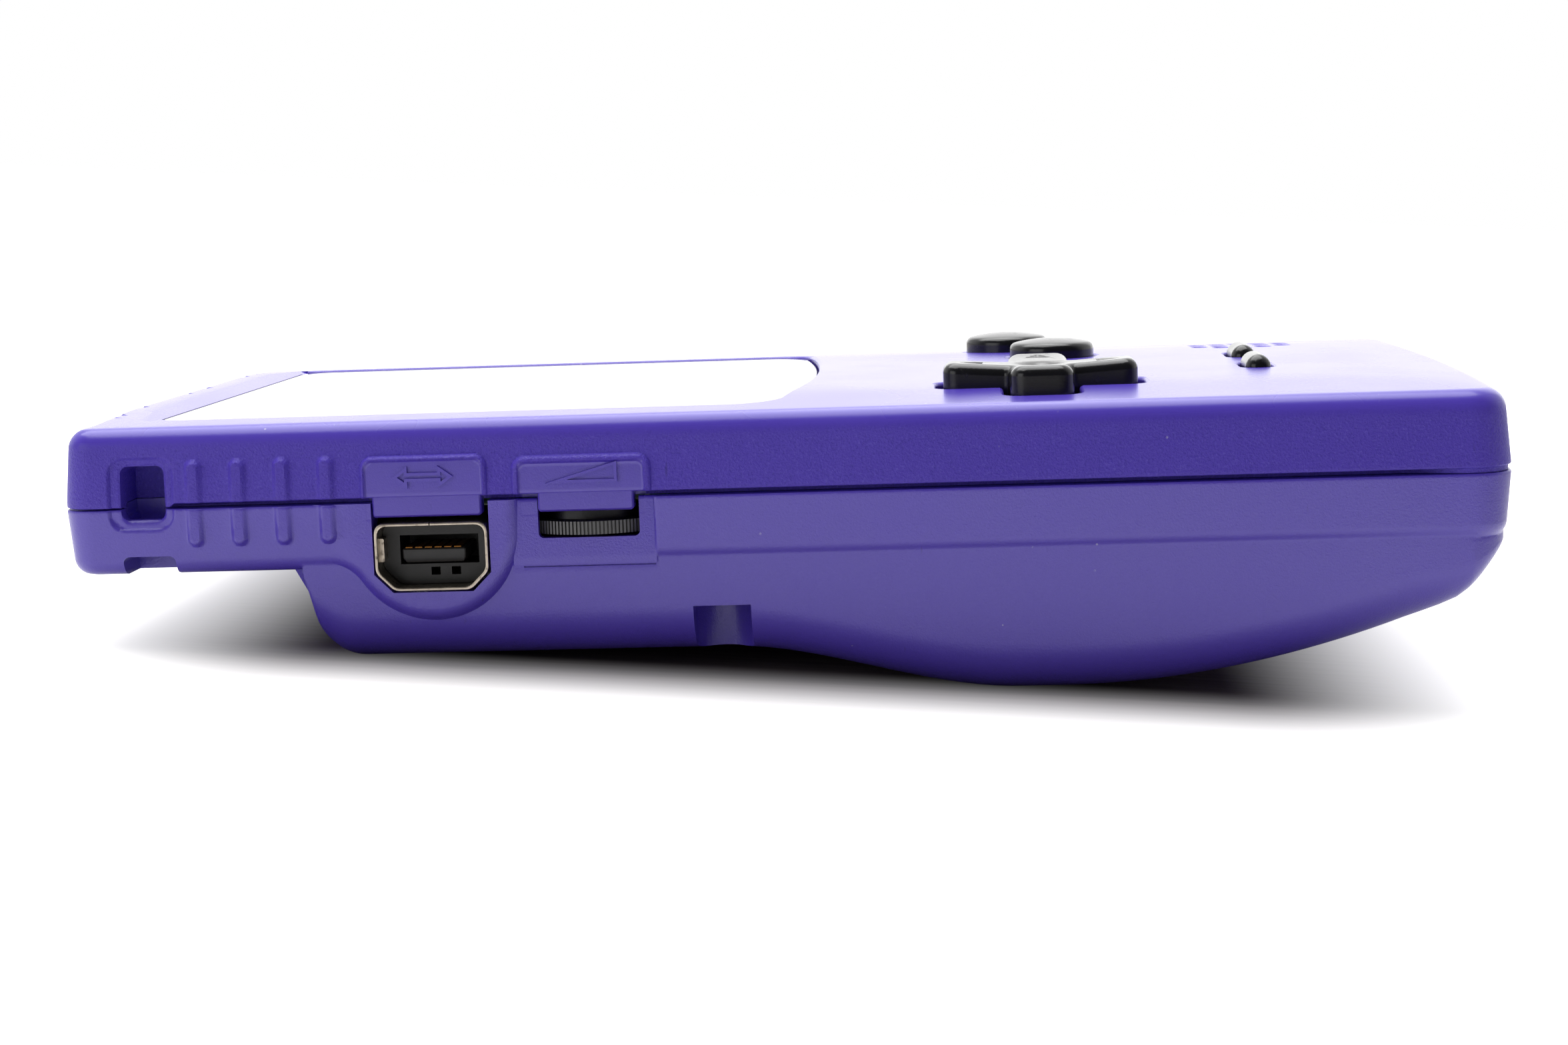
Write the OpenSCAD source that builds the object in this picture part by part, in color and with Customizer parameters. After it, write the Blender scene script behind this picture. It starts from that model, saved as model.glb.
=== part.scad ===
// Handheld game console lying on its back, with its screen up.
// X runs from the top end (-) to the bottom end (+), Y from the player's left (-) to right (+).
// Heights in the modules are measured from the parting plane of the two case halves.

/* [Body] */
// Length from the top end to the middle of the bottom end
body_len = 133.5; // [132:0.5:140]
// Width over the grip ridges
body_w = 78; // [76:0.5:84]
// Height of the front face above the parting plane
front_h = 7.8; // [7.5:0.1:9]
// Fall of the front face from its creases to the long edges
crown_drop = 0.6; // [0.3:0.1:0.9]
// Half width of the flat middle of the front face
crease_y = 23.5; // [20:0.5:26]
// Depth of the straight rim of the rear shell
rim_h = 6.4; // [6.2:0.1:7]
// Depth of the cartridge housing below the parting plane
bump_depth = 15.1; // [14.8:0.1:16]
// Depth of the battery bulge below the parting plane
back_depth = 19.6; // [19.3:0.1:21]
// Radius of the corners at the top end
top_corner_r = 3; // [2.6:0.1:5]
// Radius of the corners at the bottom end
bottom_corner_r = 4.2; // [3.5:0.1:7]
// How far the middle of the bottom end bows out
bottom_bow = 1; // [0.5:0.1:2]
// Radius of the long edges of the front face
edge_r = 2; // [1:0.25:2.5]
// Radius of the lower edge of the rim
rim_edge_r = 1.5; // [0.75:0.25:2]
// Draft of the side walls in degrees
draft = 5; // [3:0.5:6]
// Thickness of the side walls at the parting plane
wall = 2.1; // [1.8:0.1:2.4]
// Thickness of the front face at its long edges
roof_wall = 2.2; // [2:0.1:2.6]
// Thickness of the back's outer skin and of the floor over the cartridge
skin = 1.6; // [1.2:0.1:1.8]
// Open seam between the two case halves
seam = 0.5; // [0.3:0.1:0.7]
// How far ridges, pads and bosses stand proud of the walls
relief = 0.3; // [0.2:0.05:0.4]

/* [Screen] */
// Top edge of the lens, from the top end
lens_from_top = 7.5; // [7:0.5:9]
// Length of the lens
lens_len = 60.6; // [58:0.2:62]
// Width of the lens
lens_w = 63.8; // [60:0.2:65]
// Thickness of the lens
lens_t = 1; // [0.8:0.1:1.2]
// Depth of the lens below the middle of the front face
lens_sink = 0.8; // [0.7:0.1:1]
// How far the lower edge of the lens bows out
lens_bow = 2; // [1:0.2:2.6]
// Width of the bevel at the top edge of the lens
lens_bevel = 2.2; // [1:0.2:2.6]
// Window over the display, along the body
view_len = 42; // [40:0.5:44]
// Window over the display, across the body
view_w = 46; // [44:0.5:48]
// Distance from the lens's top edge to the display window
view_from_lens = 7; // [6.5:0.5:8]

/* [Controls] */
// Middle of the direction pad, from the bottom end
dpad_from_bottom = 42.9; // [41.5:0.2:45]
// Middle of the direction pad, from the left side
dpad_from_side = 16.9; // [16:0.1:18]
// Tip to tip length of the direction pad
dpad_len = 18.8; // [17:0.2:20]
// Width of its arms
dpad_arm = 5.9; // [5:0.1:7]
// Height of the direction pad above the front face
dpad_h = 2.3; // [1.5:0.1:3]
// Room round the direction pad in its hole
dpad_room = 0.6; // [0.5:0.05:0.8]
// Diameter of the round keys
key_d = 9; // [8:0.1:10]
// Outer round key, from the right side
key_a_from_side = 12; // [11:0.5:13]
// Inner round key, from the right side
key_b_from_side = 25; // [24:0.5:26]
// How far the two round keys stand out of line
key_stagger = 4.6; // [4:0.2:6]
// Height of the round keys above the front face
key_h = 2; // [1.5:0.1:2.5]
// Room round a key in its hole
key_room = 0.3; // [0.2:0.05:0.5]
// Travel of the round keys
key_travel = 1.2; // [0.8:0.1:1.4]
// Length of the two pill keys
pill_len = 7.4; // [6:0.2:8]
// Width of the two pill keys
pill_w = 2.6; // [2.2:0.1:3.4]
// Height of the pill keys above the front face
pill_h = 1.2; // [0.8:0.1:1.6]
// Half the distance between the pill keys
pill_y = 7.5; // [6.5:0.1:8]
// Middle of the pill keys, from the bottom end
pill_from_bottom = 21; // [19.5:0.5:22.5]
// Travel of the pill keys
pill_travel = 0.8; // [0.5:0.1:1]
// Radius of the volume wheel
wheel_r = 7.2; // [6.6:0.1:7.4]
// Thickness of the volume wheel
wheel_t = 1.35; // [1.1:0.05:1.5]
// Depth of the teeth on the volume wheel
tooth_h = 0.35; // [0.2:0.05:0.5]
// Number of teeth on the volume wheel
wheel_teeth = 44; // [30:1:60]
// Travel of the power knob
knob_travel = 3.2; // [2:0.1:3.6]
// Length of the power knob
knob_len = 5; // [4:0.1:5.2]

/* [Ports] */
// Middle of the link port, from the top end
link_from_top = 34.4; // [34:0.1:36]
// Width of the link port's metal shell
link_w = 10.5; // [9:0.1:11]
// Height of the link port's metal shell
link_h = 6.3; // [5.6:0.1:6.8]
// Sheet thickness of the link port's shell
link_sheet = 0.4; // [0.3:0.05:0.5]
// Middle of the volume window, from the top end
volume_from_top = 48.9; // [48.5:0.1:50]
// Length of the volume and power windows
window_len = 9.3; // [9:0.1:9.8]
// Height of the volume and power windows
window_h = 2.5; // [2.2:0.1:2.8]
// Middle of the strap hole, from the top end
strap_from_top = 7.9; // [7.6:0.1:8.6]
// Width of the strap hole
strap_w = 3.8; // [3:0.1:4.4]
// Headphone jack bore
phone_bore = 3.6; // [3.5:0.1:3.8]
// Headphone jack, from the middle of the body
phone_y = 20; // [18:0.5:22]
// Bore of the power inlet
inlet_bore = 4; // [3.5:0.1:4.2]
// Power inlet, from the top end
inlet_from_top = 52.3; // [51:0.2:52.4]
// Middle of the power knob's window, from the top end
power_from_top = 36.8; // [36:0.2:38]

/* [Cartridge and cells] */
// Mouth of the cartridge slot, from the top end
mouth_from_top = 21.4; // [20:0.2:24]
// Width of the cartridge slot
slot_w = 58; // [57.5:0.1:59]
// Height of the cartridge slot
slot_h = 7.65; // [7.4:0.05:7.8]
// Depth of the cartridge slot from its mouth to the connector
slot_len = 43; // [42:0.2:44]
// Middle of the battery bulge, from the top end
bulge_from_top = 91.8; // [91:0.2:93]
// Diameter of a cell
cell_d = 14.5; // [14:0.1:14.5]
// Length of a cell with its button
cell_len = 50.5; // [49.5:0.1:50.5]
// Distance between the two cells
cell_pitch = 15; // [14.8:0.1:15.2]

/* [Hidden] */

// Clearances: cut through a wall, moulded fit, running fit, loose fit
cut = 1;
fit = 0.15;
run_fit = 0.04;
loose = 0.35;

// Reference planes and edges
top_x = -body_len / 2;
bottom_x = body_len / 2;
side_y = body_w / 2;
half_seam = seam / 2;
edge_h = front_h - crown_drop;
roof_z = edge_h - roof_wall;
floor_z = skin - rim_h;
board_top = -0.3;
board_t = 1;
board_bottom = board_top - board_t;
inner_y = side_y - wall - relief;

// Lens and display
lens_x0 = top_x + lens_from_top;
lens_x1 = lens_x0 + lens_len;
lens_top = front_h - lens_sink;
lens_bottom = lens_top - lens_t;
view_x0 = lens_x0 + view_from_lens;
view_x = view_x0 + view_len / 2;
lcd_margin = 2.2;
lcd_z0 = board_top + 0.6;
gasket_t = 0.5;
lcd_z1 = roof_z - gasket_t;

// Controls
dpad_x = bottom_x - dpad_from_bottom;
dpad_y = side_y - dpad_from_side;
dpad_flange_r = dpad_len / 2 + dpad_room + 1;
dpad_lift_room = 1;
dpad_flange_t = 1;
dpad_under = roof_z - dpad_lift_room - dpad_flange_t;
sheet_t = 0.7;
sheet_top = board_top + sheet_t;
pivot_r = 1.6;
dpad_pivot_z = sheet_top + loose + pivot_r;
dish_r = 90;
dish_depth = 0.5;
dome_r = 1.8;
dome_at = 6.9;
dome_gap = 0.6;
key_a = [dpad_x - key_stagger / 2, side_y - key_a_from_side];
key_b = [dpad_x + key_stagger / 2, side_y - key_b_from_side];
key_dome_r = 18;
key_flange = 1.1;
key_flange_t = 1.2;
key_seat = 0.25;
pill_x = bottom_x - pill_from_bottom;
pill_flange = 0.8;
pill_flange_t = 1;
rubber_gap = 0.3;
sheet_margin = 2;
sheet_corner_r = 2;

// Side openings
link_x = top_x + link_from_top;
leg_h = 0.8;
leg_half = 3;
leg_len = 1.8;
link_top = board_bottom - leg_h;
link_bottom = link_top - link_h;
link_depth = 8.4;
link_inset = 0.2;
link_back_room = 0.5;
link_chamfer = 1.7;
link_fold = 0.5;
link_room = 0.1;
boss_r = link_w / 2 + 3;
boss_root = 3;
boss_z = -3.2;
pad_inset = 0.02;
pad_corner_r = 1;
tab_corner_r = 0.3;
tab_side_room = 0.2;
link_pad_top = 4.1;
link_pad_margin = 0.6;
link_tab_room = 0.5;
window_pad_top = 3.8;
window_pad_margin = 1.75;
panel_margin = 1.4;
panel_corner_r = 0.6;
window_corner_r = 0.5;
volume_x = top_x + volume_from_top;
window_top = -1.41;
window_recess = 0.8;
wheel_inset = 0.4;
wheel_drop = 0.94;
wheel_room = 0.6;
wheel_y = wheel_r + wheel_inset - side_y;
wheel_top = window_top - wheel_drop;
pot_pin_r = 1;
pot_r = 5;
pot_gap = 0.1;
pin_over = 0.2;
side_room_y = 9;
power_x = top_x + power_from_top;
strap_x = top_x + strap_from_top;
strap_wall = 1.3;
strap_depth = 6;
strap_bar = 2;
strap_low = -1.28;
strap_high = 3.7;
strap_corner_r = 1;
notch_top = -4.64;
notch_margin = 0.55;
notch_corner_r = 0.6;
dish_margin = 1.3;
dish_low = -2.2;
dish_high = 4.6;
dish_corner_r = 1.6;
dish_sink = 0.3;
strap_skin = 1;
ridge_x0 = top_x + 12.65;
ridge_pitch = 4.1;
ridge_w = 1.5;
ridge_count = 4;
ridge_high = 4.2;
ridge_low = -3.8;
ir_w = 14;
ir_top = 2.6;
ir_bottom = -2.4;
ir_sink = 0.6;
ir_back = 0.9;
ir_post_w = 3.2;
ir_post_len = 2.4;
ir_pitch = 6;
ir_axis_z = 1.1;
ir_lens_r = 1.3;
ir_lens_len = 2;
inlet_x = top_x + inlet_from_top;
inlet_z = -4.1;
inlet_nose_r = inlet_bore / 2 + 1;
inlet_half = 4.2;
inlet_under = 2.8;
inlet_back = 1.2;
inlet_pin_r = 0.65;
inlet_y0 = slot_w / 2 + 1.6;
inlet_y1 = side_y - 4.1;
inlet_mouth = side_y - 0.8;
nose_root = 0.5;
phone_z = -3.2;
phone_len = 12;
phone_back = 0.6;
phone_nose_r = phone_bore / 2 + 0.7;
phone_x1 = bottom_x - 2.6;
phone_x0 = phone_x1 - phone_len;
phone_mouth = bottom_x - 1;
phone_half = 3.5;
phone_under = 2.1;

// Back of the case
mouth_x = top_x + mouth_from_top;
mouth_slope = 0.31;
slot_top = -rim_h;
slot_x1 = mouth_x + slot_len;
bulge_x = top_x + bulge_from_top;
bulge_inset = 0.8;
bulge_half = side_y - relief - bulge_inset;
bulge_end = bottom_x - bottom_bow - 1;
bulge_corner_r = 6.5;
bulge_edge_r = 4.5;
bulge_arc_r = 85;
bulge_end_slope = 1.5;
rise_start = bulge_x - 31;
rise_end = bulge_x - 4;
shoulder = 0.7 - rim_h;
skin_top = floor_z - 0.13;
skin_bite = 1.1;
lip_t = 0.8;
lip_high = 1.3;
lip_low = -3;
lip_root = 0.4;
connector_len = 6.5;
connector_in = 2;
connector_gap = 0.1;
connector_room = 0.3;
slot_end = slot_x1 + connector_len + 0.7;
bay_start = slot_end + 1.8;
bay_x = bulge_x + 0.8;
bay_half_x = cell_pitch / 2 + cell_d / 2 + 0.5;
spring_room = 3.2;
bay_half_y = cell_len / 2 + spring_room;
bay_wall = 1.2;
roof_room = 0.3;
cell_room = 0.2;
bay_roof = board_bottom - roof_room;
cell_z = bay_roof - bay_wall - cell_d / 2 - cell_room;
door_half_x = bay_half_x - 0.3;
door_half_y = bay_half_y - 1;
door_room = 0.2;
tab_y = 17;
tab_w = 6;
tab_t = 0.8;
tab_lift = 1.6;
tab_reach = 2;
tab_root = 1;
slot_room = 0.4;
slot_low = 3.2;
slot_high = 9;
latch_y = 6;
latch_slit = 0.6;
latch_len = 8;

// Screws: where each goes, and how high its head sits below the parting plane
screw_r = 0.85;
head_r = 2.1;
head_t = 1.4;
post_r = 2.4;
channel_r = 2.65;
screw_len = 4;
boss_wall = 1;
post_low = 0.15;
boss_gap = 0.1;
boss_low = 0.3 - rim_h;
hole_room = 0.3;
cross_w = 0.6;
cross_len = 2.6;
cross_depth = 0.7;
board_post_r = 2;
board_head_r = 1.7;
board_head_t = 1;
board_hole_room = 0.2;
screw_spare = 0.5;
mid_screw_x = top_x + 60.75;
mid_screw_y = bulge_half - 3.1;
mid_notch_z = -10.6;
mid_seat = 1.6;
top_screw = [top_x + 8.2, side_y - 12];
low_screw = [bottom_x - 9.2, side_y - 8];
low_seat = -7.4;
board_x0 = top_x + 6.5;
board_x1 = bottom_x - 6.5;
board_half = inner_y - 3.6;
board_corner_r = 3;
case_screw_at = [
    for (s = [-1, 1]) [top_screw[0], s * top_screw[1], head_t - rim_h],
    for (s = [-1, 1]) [mid_screw_x, s * mid_screw_y, mid_notch_z + mid_seat],
    for (s = [-1, 1]) [low_screw[0], s * low_screw[1], low_seat]];
board_screw_x = slot_x1 - 2;
board_screw_y = mid_screw_y - 5.3;
board_screw_edge = 2.7;
board_screw_at = [[board_screw_x, -board_screw_y], [board_screw_x, board_screw_y],
    [board_x1 - board_screw_edge, 0]];

// Speaker, with a hexagon of holes over it, and the power lamp
speaker_at = [bottom_x - 19.7, side_y - 15.5];
speaker_r = 9.5;
speaker_wall = 1.2;
speaker_base = 0.8;
speaker_floor = 1.4;
speaker_top_room = 0.2;
cone_h = 2;
cone_foot_r = 2.5;
cone_room = 0.1;
magnet_r = 5.5;
magnet_room = 0.2;
lead_r = 0.4;
lead_half = 2;
sound_hole_r = 0.8;
sound_hole_pitch = 2.6;
sound_rings = 2;
led_at = [view_x0 + 14, -view_w / 2 - 5.5];
led_r = 1.1;
led_foot_r = 1.6;
led_foot_h = 3;
led_room = 0.2;

// Parts on the back of the board, from the middle of the display: place, half size, height
chip_at = [[0, 0], [16, 0], [-16.5, 12.5]];
chip_half = [[8, 8], [4, 6], [3.5, 2.5]];
chip_t = [1.6, 1.2, 1.3];
can_at = [[-16, -14], [-10, -14], [4, 16], [14, 16]];
can_r = 2;
can_h = 2.6;
crystal_at = [-18, 1.5];
crystal_half = [2, 4.5];
crystal_t = 2.4;

case_colour = "#5b4b9f";
key_colour = "#1b1b20";
rubber_colour = "#6d6d72";
metal_colour = "#c9c9cc";

// Round-cornered outline between two corners of a rectangle
function rounded(x0, x1, y0, y1, r, steps = 6) = [
    for (corner = [[x1 - r, y1 - r, 0], [x0 + r, y1 - r, 90], [x0 + r, y0 + r, 180], [x1 - r, y0 + r, 270]])
        for (i = [0:steps])
            let (a = corner[2] + 90 * i / steps) [corner[0] + r * cos(a), corner[1] + r * sin(a)]];

// Outline of the case, drawn in by inset, without the bow of its bottom end
function plan(inset, steps = 8) =
    let (x0 = top_x + inset, x1 = bottom_x - bottom_bow - inset, y = side_y - inset,
        r0 = max(top_corner_r - inset, 0.8), r1 = max(bottom_corner_r - inset, 0.8))
    [for (corner = [[x1 - r1, y - r1, 0, r1], [x0 + r0, y - r0, 90, r0],
            [x0 + r0, r0 - y, 180, r0], [x1 - r1, r1 - y, 270, r1]])
        for (i = [0:steps])
            let (a = corner[2] + 90 * i / steps)
            [corner[0] + corner[3] * cos(a), corner[1] + corner[3] * sin(a)]];

// Outline of the lens, grown by room, with its bowed lower edge
function lens_plan(room) =
    let (x0 = lens_x0 - room, x1 = lens_x1 + room - lens_bow, y = lens_w / 2 + room, r0 = 3, r1 = 5)
    concat(
        [for (a = [180:15:270]) [x0 + r0 + r0 * cos(a), r0 - y + r0 * sin(a)]],
        [for (a = [270:15:345]) [x1 - r1 + r1 * cos(a), r1 - y + r1 * sin(a)]],
        [for (t = [-1:0.25:1]) [x1 + lens_bow * (1 - t * t), t * (y - r1)]],
        [for (a = [15:15:90]) [x1 - r1 + r1 * cos(a), y - r1 + r1 * sin(a)]],
        [for (a = [90:15:180]) [x0 + r0 + r0 * cos(a), y - r0 + r0 * sin(a)]]);

// Lifts a piece drawn from the parting plane to the frame, whose origin is under the bulge
module lift() translate([0, 0, back_depth]) children();

// Box between two corners
module block(low, high) translate(low) cube(high - low);

// Plate on the left side: an outline in X and height, from depth y0 inwards to y1
module side_plate(y0, y1) translate([0, y1 - side_y, 0]) rotate([90, 0, 0])
    linear_extrude(y1 - y0) children();

// Does the same on the right side
module other_side() mirror([0, 1, 0]) children();

// Revolved corner of the case: draft up to height h, then an edge of radius e
module pillar(x, y, r, h, e) {
    lean = (h - e) * tan(draft);
    translate([x, y, 0]) rotate_extrude($fn = 32)
        polygon(concat([[0, half_seam], [r, half_seam]],
            [for (a = [0:15:90]) [r - lean - e + e * cos(a), h - e + e * sin(a)]], [[0, h]]));
}

// Solid of one case half up to height h, and up to the flat of the front face if crowned
module case_solid(h, e, crowned) {
    y0 = side_y - relief - top_corner_r;
    y1 = side_y - relief - bottom_corner_r;
    hull() {
        for (s = [-1, 1]) {
            pillar(top_x + top_corner_r, s * y0, top_corner_r, h, e);
            pillar(bottom_x - bottom_bow - bottom_corner_r, s * y1, bottom_corner_r, h, e);
        }
        for (t = [-0.6:0.3:0.6])
            pillar(bottom_x - bottom_corner_r - bottom_bow * t * t, t * y1, bottom_corner_r, h, e);
        if (crowned) block([top_x + edge_r + 0.8, -crease_y, h - cut],
            [bottom_x - 10, crease_y, front_h]);
    }
}

// Four grip ridges along one side, between two heights
module ridges(z0, z1) for (i = [0:ridge_count - 1]) {
    x = ridge_x0 + i * ridge_pitch;
    side_plate(0, wall) polygon(rounded(x - ridge_w / 2, x + ridge_w / 2, z0, z1, ridge_w / 2 - 0.05));
}

// Label pad on the front shell's wall, and the tab under it that closes an opening from above
module label_pad(x, half, margin, top, tab_low) {
    side_plate(pad_inset, wall)
        polygon(rounded(x - half - margin, x + half + margin, half_seam, top, pad_corner_r));
    side_plate(relief, wall) polygon(rounded(x - half + tab_side_room, x + half - tab_side_room,
        tab_low, half_seam + cut, tab_corner_r));
}
module window_pad(x) label_pad(x, window_len / 2, window_pad_margin, window_pad_top, window_top);

// Window and its shallow panel in the rear shell
module window_cut(x) {
    half = window_len / 2;
    side_plate(-cut, window_recess)
        polygon(rounded(x - half - panel_margin, x + half + panel_margin, -rim_h - 0.1, cut, panel_corner_r));
    side_plate(-cut, wall + relief + cut)
        polygon(rounded(x - half, x + half, window_top - window_h, cut, window_corner_r));
}

// Cord hole through the side wall, with the bar that the cord loops round
module strap_cut() {
    x0 = strap_x - strap_w / 2;
    x1 = strap_x + strap_w / 2;
    side_plate(-cut, strap_depth) polygon(rounded(x0, x1, strap_low, strap_high, strap_corner_r));
    side_plate(strap_bar, strap_depth) polygon(rounded(x0, x1, -rim_h - cut, strap_high, strap_corner_r));
    side_plate(-cut, strap_depth)
        polygon(rounded(x0 - notch_margin, x1 + notch_margin, -rim_h - 2 * cut, notch_top, notch_corner_r));
    side_plate(-cut, relief + dish_sink)
        polygon(rounded(x0 - dish_margin, x1 + dish_margin, dish_low, dish_high, dish_corner_r));
}

// Walls of the cord hole's pocket between two heights
module strap_pocket(z0, z1) block([strap_x - strap_w / 2 - strap_wall, strap_skin - side_y, z0],
    [strap_x + strap_w / 2 + strap_wall, strap_depth + strap_wall - side_y, z1]);

// Cross of the direction pad, grown by room
module cross(room) for (turn = [0, 90]) rotate(turn)
    polygon(rounded(-dpad_len / 2 - room, dpad_len / 2 + room, -dpad_arm / 2 - room, dpad_arm / 2 + room, 1));

// Pill key's outline, grown by room, with its long way across the body
module pill(room) polygon(rounded(-pill_w / 2 - room, pill_w / 2 + room, -pill_len / 2 - room,
    pill_len / 2 + room, pill_w / 2 + room - 0.05, 8));

// Hexagon of speaker holes
module speaker_holes() for (row = [-sound_rings:sound_rings]) {
    last = 2 * sound_rings - abs(row);
    for (i = [0:last])
        translate([sound_hole_pitch * row * sin(60), sound_hole_pitch * (i - last / 2), roof_z - cut])
            cylinder(h = front_h, r = sound_hole_r, $fn = 24);
}

module front_shell() color(case_colour) lift() difference() {
    union() {
        difference() {
            case_solid(edge_h, edge_r, true);
            translate([0, 0, -cut]) linear_extrude(roof_z + cut) polygon(plan(wall + relief));
        }
        intersection() {
            union() {
                for (s = case_screw_at) translate([s[0], s[1], post_low])
                    cylinder(h = roof_z, r = post_r, $fn = 32);
                for (s = board_screw_at) translate([s[0], s[1], board_top])
                    cylinder(h = edge_h, r = board_post_r, $fn = 32);
                strap_pocket(half_seam, edge_h);
            }
            translate([0, 0, -rim_h]) linear_extrude(rim_h + roof_z + 0.5) polygon(plan(relief + 0.6));
        }
        ridges(half_seam, ridge_high);
        other_side() ridges(half_seam, ridge_high);
        window_pad(volume_x);
        other_side() window_pad(power_x);
        label_pad(link_x, link_w / 2, link_pad_margin, link_pad_top, link_top + link_tab_room);
    }
    strap_cut();
    translate([0, 0, lens_bottom]) linear_extrude(front_h) polygon(lens_plan(fit));
    translate([0, lens_w / 2, 0]) rotate([90, 0, 0]) linear_extrude(lens_w)
        polygon([[lens_x0 - lens_bevel, front_h + 0.01], [lens_x0 + cut, front_h + 0.01],
            [lens_x0 + cut, lens_top]]);
    block([view_x0, -view_w / 2, roof_z - cut], [view_x0 + view_len, view_w / 2, front_h]);
    translate([led_at[0], led_at[1], roof_z - cut]) cylinder(h = front_h, r = led_r + led_room, $fn = 24);
    translate([dpad_x, -dpad_y, roof_z - cut]) linear_extrude(front_h) cross(dpad_room);
    for (k = [key_a, key_b]) translate([k[0], k[1], roof_z - cut])
        cylinder(h = front_h, r = key_d / 2 + key_room, $fn = 48);
    for (s = [-1, 1]) translate([pill_x, s * pill_y, roof_z - cut]) linear_extrude(front_h) pill(key_room);
    translate([speaker_at[0], speaker_at[1], 0]) speaker_holes();
    for (s = case_screw_at) translate([s[0], s[1], -cut])
        cylinder(h = screw_len + cut + screw_spare, r = screw_r + run_fit, $fn = 24);
    for (s = board_screw_at) translate([s[0], s[1], board_top - cut])
        cylinder(h = screw_len + cut, r = screw_r + run_fit, $fn = 24);
    block([top_x - cut, -ir_w / 2 - fit, -cut], [top_x + wall + cut, ir_w / 2 + fit, ir_top + fit]);
}

// Lesser of two depths with a soft corner between them
function soft_min(a, b, k) = min(a, b) - pow(max(k - abs(a - b), 0), 2) / (4 * k);
function ease(t) = let (s = min(max(t, 0), 1)) s * s * (3 - 2 * s);

// Depth of the back below the parting plane at station x
function back_at(x) =
    let (swell = x < bulge_x
            ? bump_depth + (back_depth - bump_depth) * ease((x - rise_start) / (rise_end - rise_start))
            : back_depth - pow(x - bulge_x, 2) / (2 * bulge_arc_r),
        mouth = rim_h + 0.4 + (x - mouth_x) / mouth_slope,
        end = rim_h + 0.5 + (bulge_end - x) * bulge_end_slope)
    soft_min(soft_min(swell, mouth, 3), end, 1.5);

// Half width of the back at station x, drawn in round the bottom corners
function half_at(x) =
    let (r = bulge_corner_r, run = x - bulge_end + r)
    run < 0 ? bulge_half : bulge_half - r + sqrt(max(r * r - run * run, 4));

// One section of the back at station x, drawn in by inset, up to height top
function back_ring(x, inset, top) =
    let (d = back_at(x) - inset, w = half_at(x) - inset, r = min(bulge_edge_r, (d - rim_h) * 0.6),
        foot = w - (d - r - rim_h) * tan(draft))
    concat([[x, w, top], [x, w, shoulder]],
        [for (a = [0:18:90]) [x, foot - r + r * cos(a), r - d - r * sin(a)]],
        [for (a = [90:-18:0]) [x, r - foot - r * cos(a), r - d - r * sin(a)]],
        [[x, -w, shoulder], [x, -w, top]]);

// Solid through those sections
module back_loft(stations, inset, top) {
    rings = [for (x = stations) back_ring(x, inset, top)];
    n = len(rings[0]);
    last = len(rings) - 1;
    polyhedron([for (ring = rings) each ring], concat(
        [[for (i = [n - 1:-1:0]) i]], [[for (i = [0:n - 1]) last * n + i]],
        [for (s = [0:last - 1]) for (i = [0:n - 1])
            let (j = (i + 1) % n, a = s * n, b = a + n)
            each [[a + i, a + j, b + i], [a + j, b + j, b + i]]]));
}

mouth_stations = [for (i = [0:6]) mouth_x + i * 0.8];
swell_stations = [for (i = [0:8]) rise_start + i * (rise_end - rise_start) / 8];
arc_stations = [for (i = [0:5]) bulge_x + i * (bulge_end - 7 - bulge_x) / 5];
end_stations = [for (i = [1:6]) bulge_end - 7 + i * 7 / 6];
skin_stations = concat(mouth_stations, swell_stations, arc_stations, end_stations);
bay_stations = concat([bay_start], [for (i = [0:3]) bay_start + 4 + i * (bulge_x - bay_start - 4) / 3],
    [for (i = [1:6]) bulge_x + i * (bulge_end - 3.4 - bulge_x) / 6]);

// Opening for the battery door, grown by room
module door_prism(room) block([bay_x - door_half_x - room, -door_half_y - room, -back_depth - cut],
    [bay_x + door_half_x + room, door_half_y + room, cell_z]);

// Slots in the bay's end wall for the two tabs of the door
module tab_slots() for (s = [-1, 1])
    block([bay_x + bay_half_x - cut, s * tab_y - tab_w / 2 - slot_room, slot_low - back_depth],
        [bay_x + bay_half_x + bay_wall + cut, s * tab_y + tab_w / 2 + slot_room, slot_high - back_depth]);

// Outline of the link port's shell, grown by room, with its two lower corners cut off
function link_plan(room) =
    let (x = link_w / 2 + room, low = link_bottom - room, high = link_top + room,
        c = link_chamfer, f = link_fold)
    [[link_x - x + c, low], [link_x + x - c, low], [link_x + x, low + c], [link_x + x, high - f],
        [link_x + x - f, high], [link_x - x + f, high], [link_x - x, high - f], [link_x - x, low + c]];

// Outside of the rear shell: rim, back, link port boss and ridges
module rear_outside() {
    mirror([0, 0, 1]) case_solid(rim_h, rim_edge_r, false);
    back_loft(skin_stations, 0, skin_top);
    side_plate(pad_inset, bulge_inset + relief + boss_root) intersection() {
        translate([link_x, boss_z]) circle(r = boss_r, $fn = 64);
        translate([link_x - boss_r, -bump_depth]) square([2 * boss_r, bump_depth - half_seam]);
    }
    ridges(ridge_low, -half_seam);
    other_side() ridges(ridge_low, -half_seam);
}

// Hollow beside the cartridge slot, on the left
module cheek() block([mouth_x + 3.4, skin + 1 - bulge_half, skin + 0.2 - bump_depth],
    [slot_end, -slot_w / 2 - bay_wall, floor_z + cut]);

// Ring that stands between two insets of the outline and two heights
module lip(outer, inner, z0, z1) translate([0, 0, z0]) linear_extrude(z1 - z0) difference() {
    polygon(plan(outer));
    polygon(plan(inner));
}

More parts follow.
